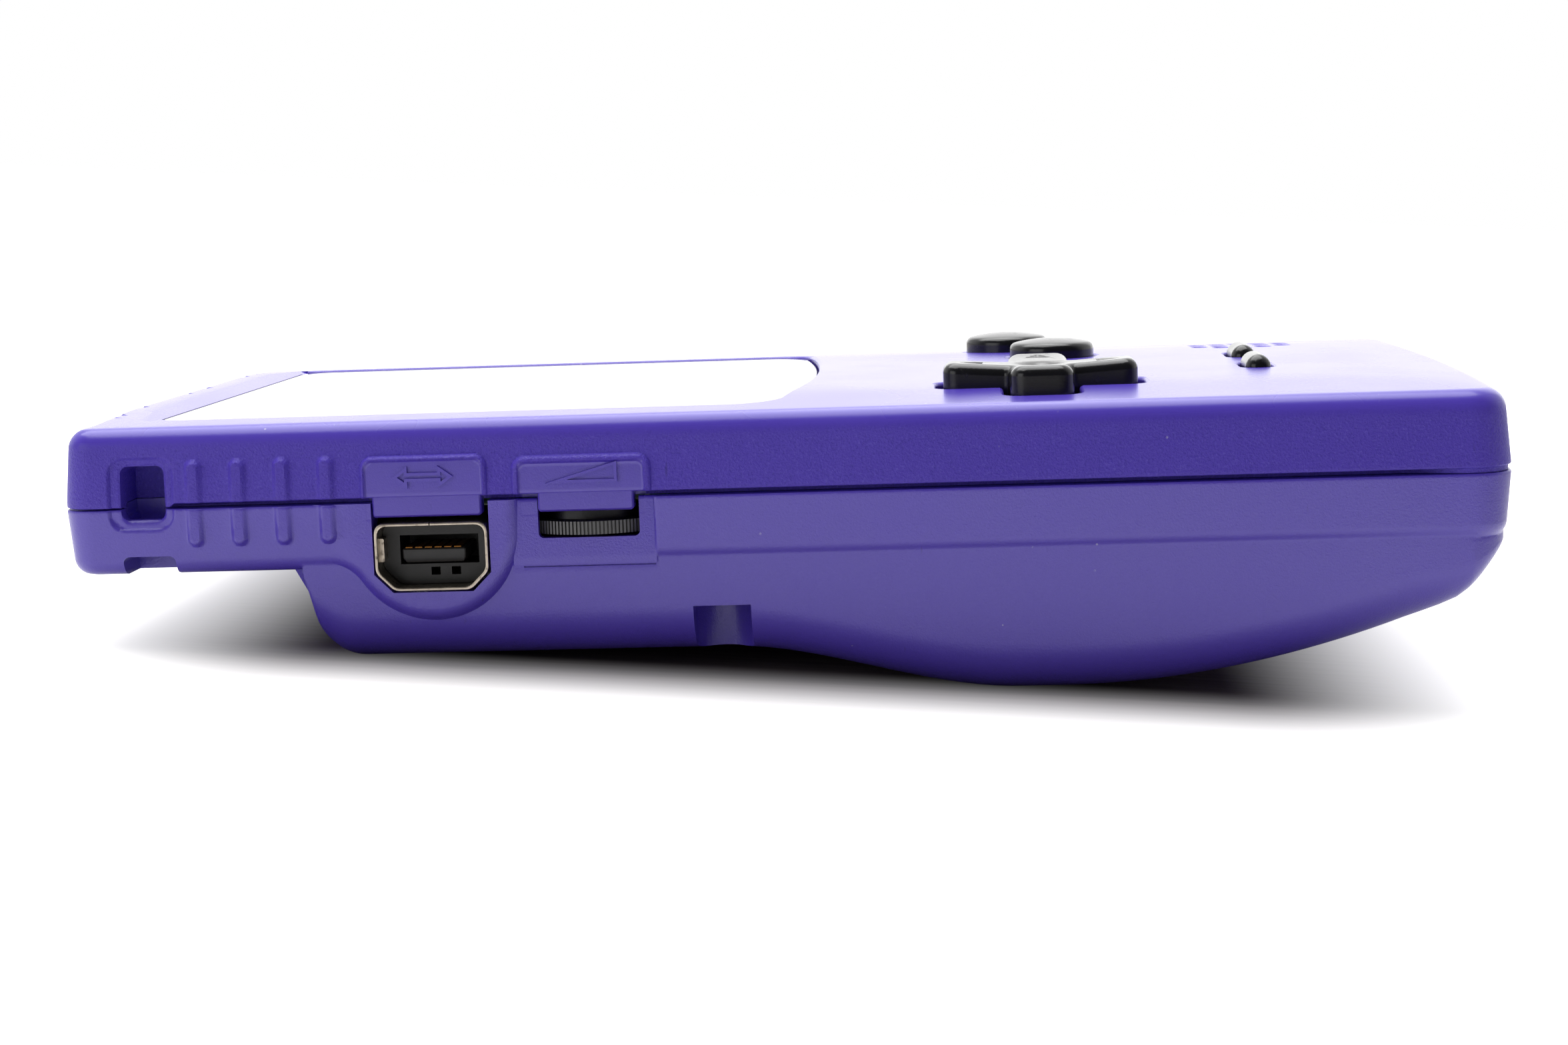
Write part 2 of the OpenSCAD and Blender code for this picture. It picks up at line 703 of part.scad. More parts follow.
// Walls and roof round the two cells, and the bosses of the screws that come up through the back
module bay_walls() intersection() {
    union() {
        difference() {
            block([bay_x - bay_half_x - bay_wall, -bay_half_y - bay_wall, -back_depth],
                [bay_x + bay_half_x + bay_wall, bay_half_y + bay_wall, bay_roof]);
            block([bay_x - bay_half_x, -bay_half_y, -back_depth - cut],
                [bay_x + bay_half_x, bay_half_y, bay_roof - bay_wall]);
            tab_slots();
        }
        for (i = [2:5]) translate([case_screw_at[i][0], case_screw_at[i][1], -back_depth])
            cylinder(h = back_depth - boss_gap, r = channel_r + boss_wall, $fn = 32);
    }
    translate([0, bulge_half - skin_bite, 0]) rotate([90, 0, 0]) linear_extrude(2 * (bulge_half - skin_bite))
        polygon(concat([for (x = skin_stations) [x, skin_bite - back_at(x)]],
            [[bulge_end, 0], [mouth_x, 0]]));
}

module rear_shell() color(case_colour) lift() difference() {
    union() {
        difference() {
            rear_outside();
            translate([0, 0, floor_z]) linear_extrude(rim_h) polygon(plan(wall + relief));
            back_loft(bay_stations, skin, floor_z + cut);
            cheek();
            other_side() cheek();
            block([mouth_x - cut, -slot_w / 2, slot_top - slot_h], [slot_end, slot_w / 2, slot_top]);
        }
        lip(wall + relief + fit, wall + relief + fit + lip_t, lip_low, lip_high);
        lip(wall + relief - lip_root, wall + relief + fit + lip_root, lip_low, -half_seam);
        bay_walls();
        for (i = [0, 1]) translate([case_screw_at[i][0], case_screw_at[i][1], boss_low])
            cylinder(h = -boss_low - boss_gap, r = channel_r + boss_wall, $fn = 32);
        strap_pocket(boss_low, -half_seam);
    }
    strap_cut();
    window_cut(volume_x);
    other_side() window_cut(power_x);
    // Room inside the lip for the wheel and the power switch
    wheel_half = wheel_r + wheel_room;
    block([volume_x - wheel_half, wall + relief - wheel_room - side_y, wheel_top - wheel_t - wheel_room],
        [volume_x + wheel_half, side_room_y - side_y, lip_high + cut]);
    block([power_x - wheel_r, side_y - side_room_y, wheel_top - wheel_t - cut],
        [power_x + wheel_r, side_y - wall - relief + wheel_room, lip_high + cut]);
    // Pocket of the link port
    side_plate(-cut, link_depth + link_back_room) polygon(link_plan(link_room));
    block([link_x - link_w / 2 - link_room, -side_y - cut, link_top - link_fold],
        [link_x + link_w / 2 + link_room, link_depth + link_back_room - side_y, lip_high + cut]);
    // Power inlet, headphone jack and infrared window
    translate([inlet_x, inlet_y1 - nose_root - fit, inlet_z]) rotate([-90, 0, 0])
        cylinder(h = side_y, r = inlet_nose_r + fit, $fn = 48);
    translate([phone_x0, -phone_y, phone_z]) rotate([0, 90, 0])
        cylinder(h = bottom_x - phone_x0 + cut, r = phone_nose_r + fit, $fn = 48);
    block([phone_x0 - loose, -phone_y - phone_half - loose, phone_z - phone_under - fit],
        [phone_x1 + loose, phone_half + loose - phone_y, lip_high + cut]);
    block([top_x - cut, -ir_w / 2 - fit, ir_bottom - fit],
        [top_x + wall + relief + ir_back + loose, ir_w / 2 + fit, lip_high + cut]);
    // Way through the floor for the cartridge connector
    block([slot_x1 - loose, connector_in - loose - slot_w / 2, slot_top - cut],
        [slot_end - fit, slot_w / 2 - connector_in + loose, floor_z + cut]);
    // Screw holes, and the channels that lead the driver to the heads
    for (s = case_screw_at) {
        translate([s[0], s[1], -back_depth])
            cylinder(h = back_depth + cut, r = screw_r + hole_room, $fn = 24);
        translate([s[0], s[1], -back_depth - cut])
            cylinder(h = back_depth + cut + s[2], r = channel_r, $fn = 32);
    }
    for (s = [-1, 1]) block([mid_screw_x - channel_r, min(s * mid_screw_y, s * side_y), -bump_depth - cut],
        [mid_screw_x + channel_r, max(s * mid_screw_y, s * side_y), mid_notch_z]);
    // Room in the lip for the cord hole's pocket and the posts of the middle screws
    block([strap_x - strap_w / 2 - strap_wall - loose, -side_y, 0],
        [strap_x + strap_w / 2 + strap_wall + loose, strap_depth - side_y, lip_high + cut]);
    for (s = [-1, 1]) translate([mid_screw_x, s * mid_screw_y, -boss_gap])
        cylinder(h = lip_high + cut, r = post_r + loose, $fn = 32);
    door_prism(door_room);
}

// Points along the back under the door, drawn in by inset
function door_line(inset) = [for (i = [0:10])
    let (x = bay_x - door_half_x + i * door_half_x / 5) [x, inset - back_at(x)]];

module battery_door() color(case_colour) lift() {
    x1 = bay_x + door_half_x;
    root_z = skin / 2 - back_at(x1);
    tab_z = skin - back_at(x1) + tab_lift - tab_t;
    inner = door_line(skin);
    difference() {
        translate([0, door_half_y, 0]) rotate([90, 0, 0]) linear_extrude(2 * door_half_y)
            polygon(concat(door_line(0), [for (i = [10:-1:0]) inner[i]]));
        for (s = [-1, 1]) block([bay_x - door_half_x - cut, s * latch_y - latch_slit / 2, -back_depth - cut],
            [bay_x - door_half_x + latch_len, s * latch_y + latch_slit / 2, cell_z]);
    }
    for (s = [-1, 1]) {
        block([x1 - tab_root, s * tab_y - tab_w / 2, root_z], [x1, s * tab_y + tab_w / 2, tab_z + tab_t]);
        block([x1 - tab_root, s * tab_y - tab_w / 2, tab_z],
            [x1 + tab_reach, s * tab_y + tab_w / 2, tab_z + tab_t]);
    }
}

module screen_lens() color("#c9d2d8") lift()
    translate([0, 0, lens_bottom]) linear_extrude(lens_t) polygon(lens_plan(0));

module dpad() color(key_colour) lift() translate([dpad_x, -dpad_y, 0]) {
    top = front_h + dpad_h;
    root = dpad_under + dpad_flange_t / 2;
    difference() {
        translate([0, 0, root]) linear_extrude(top - root) cross(0);
        translate([0, 0, top + dish_r - dish_depth]) sphere(r = dish_r, $fn = 96);
    }
    translate([0, 0, dpad_under]) cylinder(h = dpad_flange_t, r = dpad_flange_r, $fn = 64);
    translate([0, 0, dpad_pivot_z]) {
        sphere(r = pivot_r, $fn = 48);
        cylinder(h = dpad_under - dpad_pivot_z + fit, r = pivot_r - fit, $fn = 24);
    }
}

module dpad_domes() color(rubber_colour) lift() for (a = [0:90:270])
    translate([dpad_x + dome_at * cos(a), dome_at * sin(a) - dpad_y, sheet_top + dome_gap])
        cylinder(h = dpad_under - sheet_top - 2 * dome_gap, r = dome_r, $fn = 32);

// Rubber sheet on the board round a middle point
module sheet(x, y, half_x, half_y) translate([x, y, board_top]) linear_extrude(sheet_t)
    polygon(rounded(-half_x, half_x, -half_y, half_y, sheet_corner_r));

module dpad_membrane() color(rubber_colour) lift() {
    half = dome_at + dome_r + sheet_margin;
    sheet(dpad_x, -dpad_y, half, half);
}

// Round key: domed cap and the flange that holds it under the front face
module round_key(at) translate([at[0], at[1], 0]) {
    under = roof_z - key_seat - key_flange_t;
    intersection() {
        translate([0, 0, under]) cylinder(h = front_h + key_h - under, r = key_d / 2, $fn = 64);
        translate([0, 0, front_h + key_h - key_dome_r]) sphere(r = key_dome_r, $fn = 96);
    }
    translate([0, 0, under]) cylinder(h = key_flange_t, r = key_d / 2 + key_flange, $fn = 64);
}

module a_button() color(key_colour) lift() round_key(key_a);
module b_button() color(key_colour) lift() round_key(key_b);

module ab_membrane() color(rubber_colour) lift() {
    low = [min(key_a[0], key_b[0]), min(key_a[1], key_b[1])];
    high = [max(key_a[0], key_b[0]), max(key_a[1], key_b[1])];
    mid = (low + high) / 2;
    half = (high - low) / 2 + [1, 1] * (key_d / 2 + sheet_margin);
    top = roof_z - key_seat - key_flange_t - key_travel - rubber_gap;
    sheet(mid[0], mid[1], half[0], half[1]);
    for (k = [key_a, key_b]) translate([k[0], k[1], board_top])
        cylinder(h = top - board_top, r = key_d / 2 - key_flange, $fn = 32);
}

// Pill key at one side of the middle
module pill_key(side) translate([pill_x, side * pill_y, 0]) {
    under = roof_z - key_seat - pill_flange_t;
    translate([0, 0, under]) linear_extrude(front_h + pill_h - under) pill(0);
    translate([0, 0, under]) linear_extrude(pill_flange_t) pill(pill_flange);
}

module select_button() color(key_colour) lift() pill_key(-1);
module start_button() color(key_colour) lift() pill_key(1);

module start_select_membrane() color(rubber_colour) lift() {
    top = roof_z - key_seat - pill_flange_t - pill_travel - rubber_gap;
    sheet(pill_x, 0, pill_w / 2 + sheet_margin, pill_y + pill_len / 2 + sheet_margin);
    for (s = [-1, 1]) translate([pill_x, s * pill_y, board_top])
        linear_extrude(top - board_top) pill(-rubber_gap);
}

module volume_wheel() color(key_colour) lift() translate([volume_x, wheel_y, wheel_top - wheel_t])
    difference() {
        linear_extrude(wheel_t) polygon([for (i = [0:4 * wheel_teeth - 1])
            let (a = 90 * i / wheel_teeth, r = wheel_r - (i % 4 < 2 ? 0 : tooth_h))
            [r * cos(a), r * sin(a)]]);
        translate([0, 0, -cut]) cylinder(h = wheel_t + 2 * cut, r = pot_pin_r + run_fit, $fn = 32);
    }

module volume_pot() color("#3a3a3e") lift() translate([volume_x, wheel_y, 0]) {
    translate([0, 0, wheel_top + pot_gap])
        cylinder(h = board_bottom - wheel_top - pot_gap, r = pot_r, $fn = 32);
    translate([0, 0, wheel_top - wheel_t - pin_over])
        cylinder(h = wheel_t + 2 * pin_over + pot_gap, r = pot_pin_r, $fn = 32);
}

knob_x0 = power_x - window_len / 2 + loose;
knob_x = knob_x0 + knob_len / 2;
knob_z = window_top - window_h / 2;
knob_y = side_y - wall - relief;
knob_room = 0.2;
knob_plate_t = 1;
knob_plate_over = 1.2;
lever_half = 1;
lever_h = 0.7;
lever_y = side_y - 6.5;
lever_room = 0.4;
switch_half = 6;
switch_y0 = side_y - 10;
switch_y1 = side_y - 5.4;
switch_low = -4.2;

module power_knob() color(key_colour) lift() {
    plate_y = knob_y - knob_plate_t + knob_room;
    block([knob_x0, plate_y, knob_z - window_h / 2 + knob_room],
        [knob_x0 + knob_len, side_y - loose, knob_z + window_h / 2 - knob_room]);
    block([knob_x0 - knob_plate_over, plate_y, knob_z - window_h / 2 - loose],
        [knob_x0 + knob_len + knob_plate_over, knob_y + knob_room, knob_z + window_h / 2 + knob_room]);
    block([knob_x - lever_half, lever_y, knob_z - lever_h], [knob_x + lever_half, knob_y, knob_z + lever_h]);
}

module power_switch() color(metal_colour) lift() difference() {
    block([power_x - switch_half, switch_y0, switch_low], [power_x + switch_half, switch_y1, board_bottom]);
    block([knob_x - lever_half - lever_room, lever_y - 2 * lever_room, knob_z - lever_h - lever_room],
        [knob_x + lever_half + knob_travel + lever_room, side_y, knob_z + lever_h + lever_room]);
}

module link_port_shell() color(metal_colour) lift() {
    side_plate(link_inset, link_depth) difference() {
        polygon(link_plan(0));
        polygon(link_plan(-link_sheet));
    }
    block([link_x - leg_half, link_depth - leg_len - side_y, link_top - link_sheet / 2],
        [link_x + leg_half, link_depth - side_y, board_bottom]);
}

tongue_half = link_w / 2 - 2.4;
tongue_t = 1.7;
tongue_front = 1.4;
insert_t = 2;
insert_room = 0.05;
strip_half = 0.45;
strip_pitch = 1.7;
strip_t = 0.2;
strip_in = 0.3;
link_mid = (link_top + link_bottom) / 2;

module link_port_insert() color("#18181b") lift() {
    side_plate(link_depth - insert_t, link_depth) polygon(link_plan(-link_sheet - insert_room));
    block([link_x - tongue_half, tongue_front - side_y, link_mid - tongue_t / 2],
        [link_x + tongue_half, link_depth - insert_t / 2 - side_y, link_mid + tongue_t / 2]);
}

module link_port_contacts() color("#b98a5a") lift() for (i = [-1:1]) for (s = [-1, 1]) {
    z = link_mid + s * tongue_t / 2;
    x = link_x + i * strip_pitch;
    block([x - strip_half, tongue_front + strip_in - side_y, min(z, z + s * strip_t)],
        [x + strip_half, link_depth - insert_t - side_y, max(z, z + s * strip_t)]);
}

module headphone_jack() color("#232327") lift() difference() {
    union() {
        block([phone_x0, -phone_y - phone_half, phone_z - phone_under],
            [phone_x1, phone_half - phone_y, board_bottom]);
        translate([phone_x1 - nose_root, -phone_y, phone_z]) rotate([0, 90, 0])
            cylinder(h = phone_mouth - phone_x1 + nose_root, r = phone_nose_r, $fn = 48);
    }
    translate([phone_x0 + phone_back, -phone_y, phone_z]) rotate([0, 90, 0])
        cylinder(h = phone_mouth - phone_x0, r = phone_bore / 2, $fn = 48);
}

module dc_jack() color("#1e1e22") lift() difference() {
    union() {
        block([inlet_x - inlet_half, inlet_y0, inlet_z - inlet_under],
            [inlet_x + inlet_half, inlet_y1, board_bottom]);
        translate([inlet_x, inlet_y1 - nose_root, inlet_z]) rotate([-90, 0, 0])
            cylinder(h = inlet_mouth - inlet_y1 + nose_root, r = inlet_nose_r, $fn = 48);
    }
    translate([inlet_x, inlet_y0 + inlet_back, inlet_z]) rotate([-90, 0, 0])
        cylinder(h = inlet_mouth - inlet_y0, r = inlet_bore / 2, $fn = 48);
}

module dc_pin() color(metal_colour) lift() translate([inlet_x, inlet_y0 + inlet_back, inlet_z])
    rotate([-90, 0, 0]) cylinder(h = inlet_mouth - inlet_y0 - 2 * inlet_back, r = inlet_pin_r, $fn = 24);

module ir_window() color("#2a1116") lift()
    block([top_x + ir_sink, -ir_w / 2, ir_bottom], [top_x + wall + relief + ir_back, ir_w / 2, ir_top]);

module ir_parts() color("#3b1a22") lift() for (s = [-1, 1]) {
    y = s * ir_pitch / 2;
    block([board_x0, y - ir_post_w / 2, board_top], [board_x0 + ir_post_len, y + ir_post_w / 2, ir_top]);
    translate([board_x0 - ir_lens_len, y, ir_axis_z]) rotate([0, 90, 0])
        cylinder(h = ir_lens_len, r = ir_lens_r, $fn = 24);
}

module main_board() color("#2f6b4a") lift() difference() {
    translate([0, 0, board_bottom]) linear_extrude(board_t)
        polygon(rounded(board_x0, board_x1, -board_half, board_half, board_corner_r));
    for (s = case_screw_at) translate([s[0], s[1], board_bottom - cut])
        cylinder(h = board_t + 2 * cut, r = channel_r + boss_wall + loose, $fn = 32);
    for (s = board_screw_at) translate([s[0], s[1], board_bottom - cut])
        cylinder(h = board_t + 2 * cut, r = screw_r + board_hole_room, $fn = 24);
    block([strap_x - strap_w / 2 - strap_wall - loose, -side_y, board_bottom - cut],
        [strap_x + strap_w / 2 + strap_wall + loose, strap_depth + strap_wall + loose - side_y, cut]);
}

// Flat part under the board: its place from the middle of the display, half size and height
module under_board(at, half, t) block([view_x + at[0] - half[0], at[1] - half[1], board_bottom - t],
    [view_x + at[0] + half[0], at[1] + half[1], board_bottom]);

module board_chips() color("#202022") lift()
    for (i = [0:len(chip_at) - 1]) under_board(chip_at[i], chip_half[i], chip_t[i]);

module board_capacitors() color("#8d8f95") lift() for (at = can_at)
    translate([view_x + at[0], at[1], board_bottom - can_h]) cylinder(h = can_h, r = can_r, $fn = 32);

module crystal() color(metal_colour) lift() under_board(crystal_at, crystal_half, crystal_t);

lcd_x0 = view_x0 - lcd_margin;
lcd_x1 = view_x0 + view_len + lcd_margin;
lcd_half = view_w / 2 + lcd_margin;

module lcd_panel() color("#8f9a8c") lift()
    block([lcd_x0, -lcd_half, lcd_z0], [lcd_x1, lcd_half, lcd_z1]);

module lcd_gasket() color("#2b2b2e") lift() difference() {
    block([lcd_x0 + loose, loose - lcd_half, lcd_z1], [lcd_x1 - loose, lcd_half - loose, roof_z]);
    block([view_x0 - loose, -view_w / 2 - loose, lcd_z1 - cut],
        [view_x0 + view_len + loose, view_w / 2 + loose, roof_z + cut]);
}

pad_in = 2;

module lcd_pad() color("#3c3c40") lift()
    block([lcd_x0 + pad_in, pad_in - lcd_half, board_top], [lcd_x1 - pad_in, lcd_half - pad_in, lcd_z0]);

ribbon_t = 0.2;
ribbon_w = 30;
ribbon_out = 1.6;
ribbon_z = 2.6;
socket_top = 0.9;
socket_half = 1;
socket_over = 1;

module lcd_ribbon() color("#b0702c") lift() translate([0, ribbon_w / 2, 0]) rotate([90, 0, 0])
    linear_extrude(ribbon_w) {
        x1 = lcd_x1 + ribbon_out;
        polygon([[lcd_x1, ribbon_z], [x1, ribbon_z], [x1, socket_top], [x1 - ribbon_t, socket_top],
            [x1 - ribbon_t, ribbon_z - ribbon_t], [lcd_x1, ribbon_z - ribbon_t]]);
    }

module ribbon_socket() color("#d8d4c8") lift()
    block([lcd_x1 + ribbon_out - socket_half, -ribbon_w / 2 - socket_over, board_top],
        [lcd_x1 + ribbon_out + socket_half, ribbon_w / 2 + socket_over, socket_top]);

module speaker_frame() color("#50525a") lift() translate([speaker_at[0], speaker_at[1], speaker_floor])
    difference() {
        cylinder(h = roof_z - speaker_top_room - speaker_floor, r = speaker_r, $fn = 48);
        translate([0, 0, speaker_base]) cylinder(h = roof_z, r = speaker_r - speaker_wall, $fn = 48);
    }

module speaker_cone() color("#cfc8b8") lift()
    translate([speaker_at[0], speaker_at[1], speaker_floor + speaker_base])
        cylinder(h = cone_h, r1 = cone_foot_r, r2 = speaker_r - speaker_wall - cone_room, $fn = 48);

module speaker_magnet() color(metal_colour) lift()
    translate([speaker_at[0], speaker_at[1], board_top + magnet_room])
        cylinder(h = speaker_floor - board_top - magnet_room, r = magnet_r, $fn = 48);

module speaker_leads() color("#b5422e") lift() for (s = [-1, 1])
    translate([speaker_at[0] - (speaker_r + magnet_r) / 2, speaker_at[1] + s * lead_half, board_top])
        cylinder(h = speaker_floor - board_top, r = lead_r, $fn = 16);

module power_led() color("#c1272d") lift() translate([led_at[0], led_at[1], board_top]) {
    cylinder(h = led_foot_h, r = led_foot_r, $fn = 32);
    cylinder(h = lens_bottom - led_room - board_top, r = led_r, $fn = 32);
}

connector_x0 = slot_x1 + connector_gap;
groove_z = slot_top - slot_h / 2;
groove_half = slot_w / 2 - 5;
groove_h = 1.8;
groove_depth = 4.5;
pin_count = 32;
pin_pitch = 1.45;
pin_w = 0.7;
pin_t = 0.3;
pin_in = 0.6;

module cartridge_connector() color("#d9d6cc") lift() difference() {
    block([connector_x0, connector_in - slot_w / 2, connector_room + slot_top - slot_h],
        [connector_x0 + connector_len, slot_w / 2 - connector_in, board_bottom]);
    block([connector_x0 - cut, -groove_half, groove_z - groove_h / 2],
        [connector_x0 + groove_depth, groove_half, groove_z + groove_h / 2]);
}

module cartridge_contacts() color("#c9a24a") lift() for (i = [0:pin_count - 1]) {
    y = pin_pitch * (i - (pin_count - 1) / 2);
    block([connector_x0 + pin_in, y - pin_w / 2, groove_z + groove_h / 2 - pin_t],
        [connector_x0 + groove_depth, y + pin_w / 2, groove_z + groove_h / 2]);
}

button_h = 1.2;
button_r = 2.7;
plate_w = 9;
plate_t = 0.4;
spring_r = 4;

// One cell along Y, with its button towards one side
module cell(x, side) translate([x, 0, cell_z]) rotate([-90 * side, 0, 0]) {
    translate([0, 0, -cell_len / 2]) cylinder(h = cell_len - button_h, r = cell_d / 2, $fn = 64);
    translate([0, 0, cell_len / 2 - button_h]) cylinder(h = button_h, r = button_r, $fn = 32);
}

module battery_upper() color("#6f7379") lift() cell(bay_x - cell_pitch / 2, 1);
module battery_lower() color("#6f7379") lift() cell(bay_x + cell_pitch / 2, -1);

// Spring plates at both ends of each cell
module battery_contacts() color(metal_colour) lift() for (s = [-1, 1]) for (e = [-1, 1])
    translate([bay_x + s * cell_pitch / 2, e * bay_half_y, cell_z]) rotate([90 * e, 0, 0]) {
        translate([-plate_w / 2, -plate_w / 2, 0]) cube([plate_w, plate_w, plate_t]);
        cylinder(h = spring_room - fit, r1 = spring_r, r2 = spring_r / 2, $fn = 32);
    }

module case_screws() color(metal_colour) lift() for (s = case_screw_at) translate([s[0], s[1], s[2]]) {
    translate([0, 0, -head_t]) difference() {
        cylinder(h = head_t, r = head_r, $fn = 32);
        for (a = [0, 90]) rotate(a) translate([-cross_len / 2, -cross_w / 2, -cut])
            cube([cross_len, cross_w, cut + cross_depth]);
    }
    cylinder(h = screw_len - s[2], r = screw_r, $fn = 24);
}

module board_screws() color(metal_colour) lift() for (s = board_screw_at)
    translate([s[0], s[1], board_bottom]) {
        translate([0, 0, -board_head_t]) cylinder(h = board_head_t, r = board_head_r, $fn = 32);
        cylinder(h = board_t + screw_len - screw_spare, r = screw_r, $fn = 24);
    }

front_shell();
rear_shell();
battery_door();
screen_lens();
dpad();
dpad_domes();
dpad_membrane();
a_button();
b_button();
ab_membrane();
select_button();
start_button();
start_select_membrane();
volume_wheel();
volume_pot();
power_knob();
power_switch();
link_port_shell();
link_port_insert();
link_port_contacts();
headphone_jack();
dc_jack();
dc_pin();
ir_window();
ir_parts();
main_board();
board_chips();
board_capacitors();
crystal();
lcd_panel();
lcd_gasket();
lcd_pad();
lcd_ribbon();
ribbon_socket();
speaker_frame();
speaker_cone();
speaker_magnet();
speaker_leads();
power_led();
cartridge_connector();
cartridge_contacts();
battery_upper();
battery_lower();
battery_contacts();
case_screws();
board_screws();
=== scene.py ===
# Handheld game console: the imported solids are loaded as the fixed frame, and each piece
# below is dressed in the order in which the console is put together.
import math
import bpy
import bmesh
import numpy as np
from mathutils import Matrix, Vector
from mathutils.geometry import delaunay_2d_cdt


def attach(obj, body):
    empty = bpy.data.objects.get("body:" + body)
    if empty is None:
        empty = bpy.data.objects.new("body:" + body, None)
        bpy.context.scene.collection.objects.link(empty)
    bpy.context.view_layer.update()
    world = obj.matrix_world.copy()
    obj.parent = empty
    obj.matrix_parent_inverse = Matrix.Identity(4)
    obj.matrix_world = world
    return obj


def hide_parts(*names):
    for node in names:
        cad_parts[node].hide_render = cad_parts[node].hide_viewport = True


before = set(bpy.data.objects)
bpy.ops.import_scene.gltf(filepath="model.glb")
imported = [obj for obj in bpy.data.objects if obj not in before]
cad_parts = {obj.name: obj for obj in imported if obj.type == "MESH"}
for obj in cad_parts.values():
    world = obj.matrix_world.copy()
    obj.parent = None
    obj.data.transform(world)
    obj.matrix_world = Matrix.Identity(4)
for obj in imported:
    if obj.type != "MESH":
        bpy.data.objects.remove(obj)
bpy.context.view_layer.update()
scene = bpy.context.scene
scene.view_settings.view_transform = "Standard"


# Table, room and camera: a pale table top that the back of the case rests on, leaning a little
# because the case stands on its battery bulge and on the edge of the cartridge housing.
# Soft lamps hang over it, behind it and before it, and the camera looks at the left side.
SEAM = 19.6          # height of the parting plane over the lowest point, in mm


class Wire:
    """A socket of a node tree that can stand in a sum."""

    def __init__(self, tree, socket):
        self.tree, self.socket = tree, socket

    def node(self, kind, settings=None, inputs=None, out=0):
        made = self.tree.nodes.new(kind)
        for key, value in (settings or {}).items():
            if key == "stops":
                ramp = made.color_ramp
                while len(ramp.elements) < len(value):
                    ramp.elements.new(0.5)
                for stop, (at, tint) in zip(ramp.elements, value):
                    stop.position, stop.color = at, tint
            else:
                setattr(made, key, value)
        for key, value in (inputs or {}).items():
            if isinstance(value, Wire):
                self.tree.links.new(value.socket, made.inputs[key])
            else:
                made.inputs[key].default_value = value
        return Wire(self.tree, made.outputs[out]) if len(made.outputs) else None

    def math(self, operation, *terms):
        return self.node("ShaderNodeMath", {"operation": operation}, dict(enumerate(terms)))

    def __add__(self, other): return self.math("ADD", self, other)
    def __radd__(self, other): return self.math("ADD", other, self)
    def __sub__(self, other): return self.math("SUBTRACT", self, other)
    def __rsub__(self, other): return self.math("SUBTRACT", other, self)
    def __mul__(self, other): return self.math("MULTIPLY", self, other)
    def __rmul__(self, other): return self.math("MULTIPLY", other, self)
    def __truediv__(self, other): return self.math("DIVIDE", self, other)
    def __abs__(self): return self.math("ABSOLUTE", self)
    def below(self, level): return self.math("LESS_THAN", self, level)
    def least(self, other): return self.math("MINIMUM", self, other)
    def most(self, other): return self.math("MAXIMUM", self, other)
    def root(self): return self.math("SQRT", self)

    def ease(self, low, high):
        return self.node("ShaderNodeMapRange", {"interpolation_type": "SMOOTHSTEP"},
                         {"Value": self, "From Min": low, "From Max": high})

    def noise(self, scale, detail=2.0, rough=0.5, out=0):
        return self.node("ShaderNodeTexNoise", None,
                         {"Vector": self, "Scale": scale, "Detail": detail, "Roughness": rough}, out)

    def stretch(self, x, y, z):
        return self.node("ShaderNodeMapping", None, {"Vector": self, "Scale": (x, y, z)})

    def axis(self, number):
        return self.node("ShaderNodeSeparateXYZ", None, {"Vector": self}, number)

    def mix(self, first, second):
        """This factor's mix of two colours."""
        return self.node("ShaderNodeMix", {"data_type": "RGBA"}, {0: self, 6: first, 7: second}, 2)

    def bump(self, strength, distance, under=None):
        inputs = {"Height": self, "Strength": strength, "Distance": distance}
        if under:
            inputs["Normal"] = under
        return self.node("ShaderNodeBump", None, inputs)


def tint(code):
    """A written sRGB colour as Blender's linear one."""
    parts = [int(code[i:i + 2], 16) / 255 for i in (1, 3, 5)]
    return tuple(p / 12.92 if p < 0.04045 else ((p + 0.055) / 1.055) ** 2.4 for p in parts) + (1.0,)


REST_X, REST_Z, TABLE_SLOPE = 0.0391, 0.00447, -0.0764     # where the housing's edge rests, and the lean
table = bpy.data.meshes.new("table")
table.from_pydata([(x, y, REST_Z + (x + REST_X) * TABLE_SLOPE) for x, y in
                   ((-3, -3), (3, -3), (3, 3), (-3, 3))], [], [(0, 1, 2, 3)])
table_top = bpy.data.objects.new("table", table)
scene.collection.objects.link(table_top)
paint = bpy.data.materials.new("table_white")
paint.use_nodes = True
paint.node_tree.nodes.clear()
start = Wire(paint.node_tree, None)
seen, shiny = (start.node("ShaderNodeLightPath", None, None, ray)
               for ray in ("Is Camera Ray", "Is Glossy Ray"))
spot = start.node("ShaderNodeTexCoord", None, None, "Object")
mm = spot.stretch(1000, 1000, 0)
# Round the case's footprint the table is painted a darker, streaked grey-brown as a painted shadow, and its
# glow fades in only away from the case.
edge_x, edge_y = (abs(mm.axis(0) + 1.5) - 41.5).most(0), (abs(mm.axis(1)) - 29).most(0)
clear_of = (edge_x * edge_x + edge_y * edge_y).root()
streak = mm.stretch(0.03, 0.5, 0).noise(1.6, 4, 0.6)
# Painted shadow: a dark streaked tone laid on the table near the case.
painted_shadow_streaks = streak.mix(tint("#5f5457"), tint("#8a7f80"))
matt = start.node("ShaderNodeBsdfDiffuse", None, {"Color": clear_of.ease(2, 30).mix(painted_shadow_streaks, tint("#c9c7c5"))})
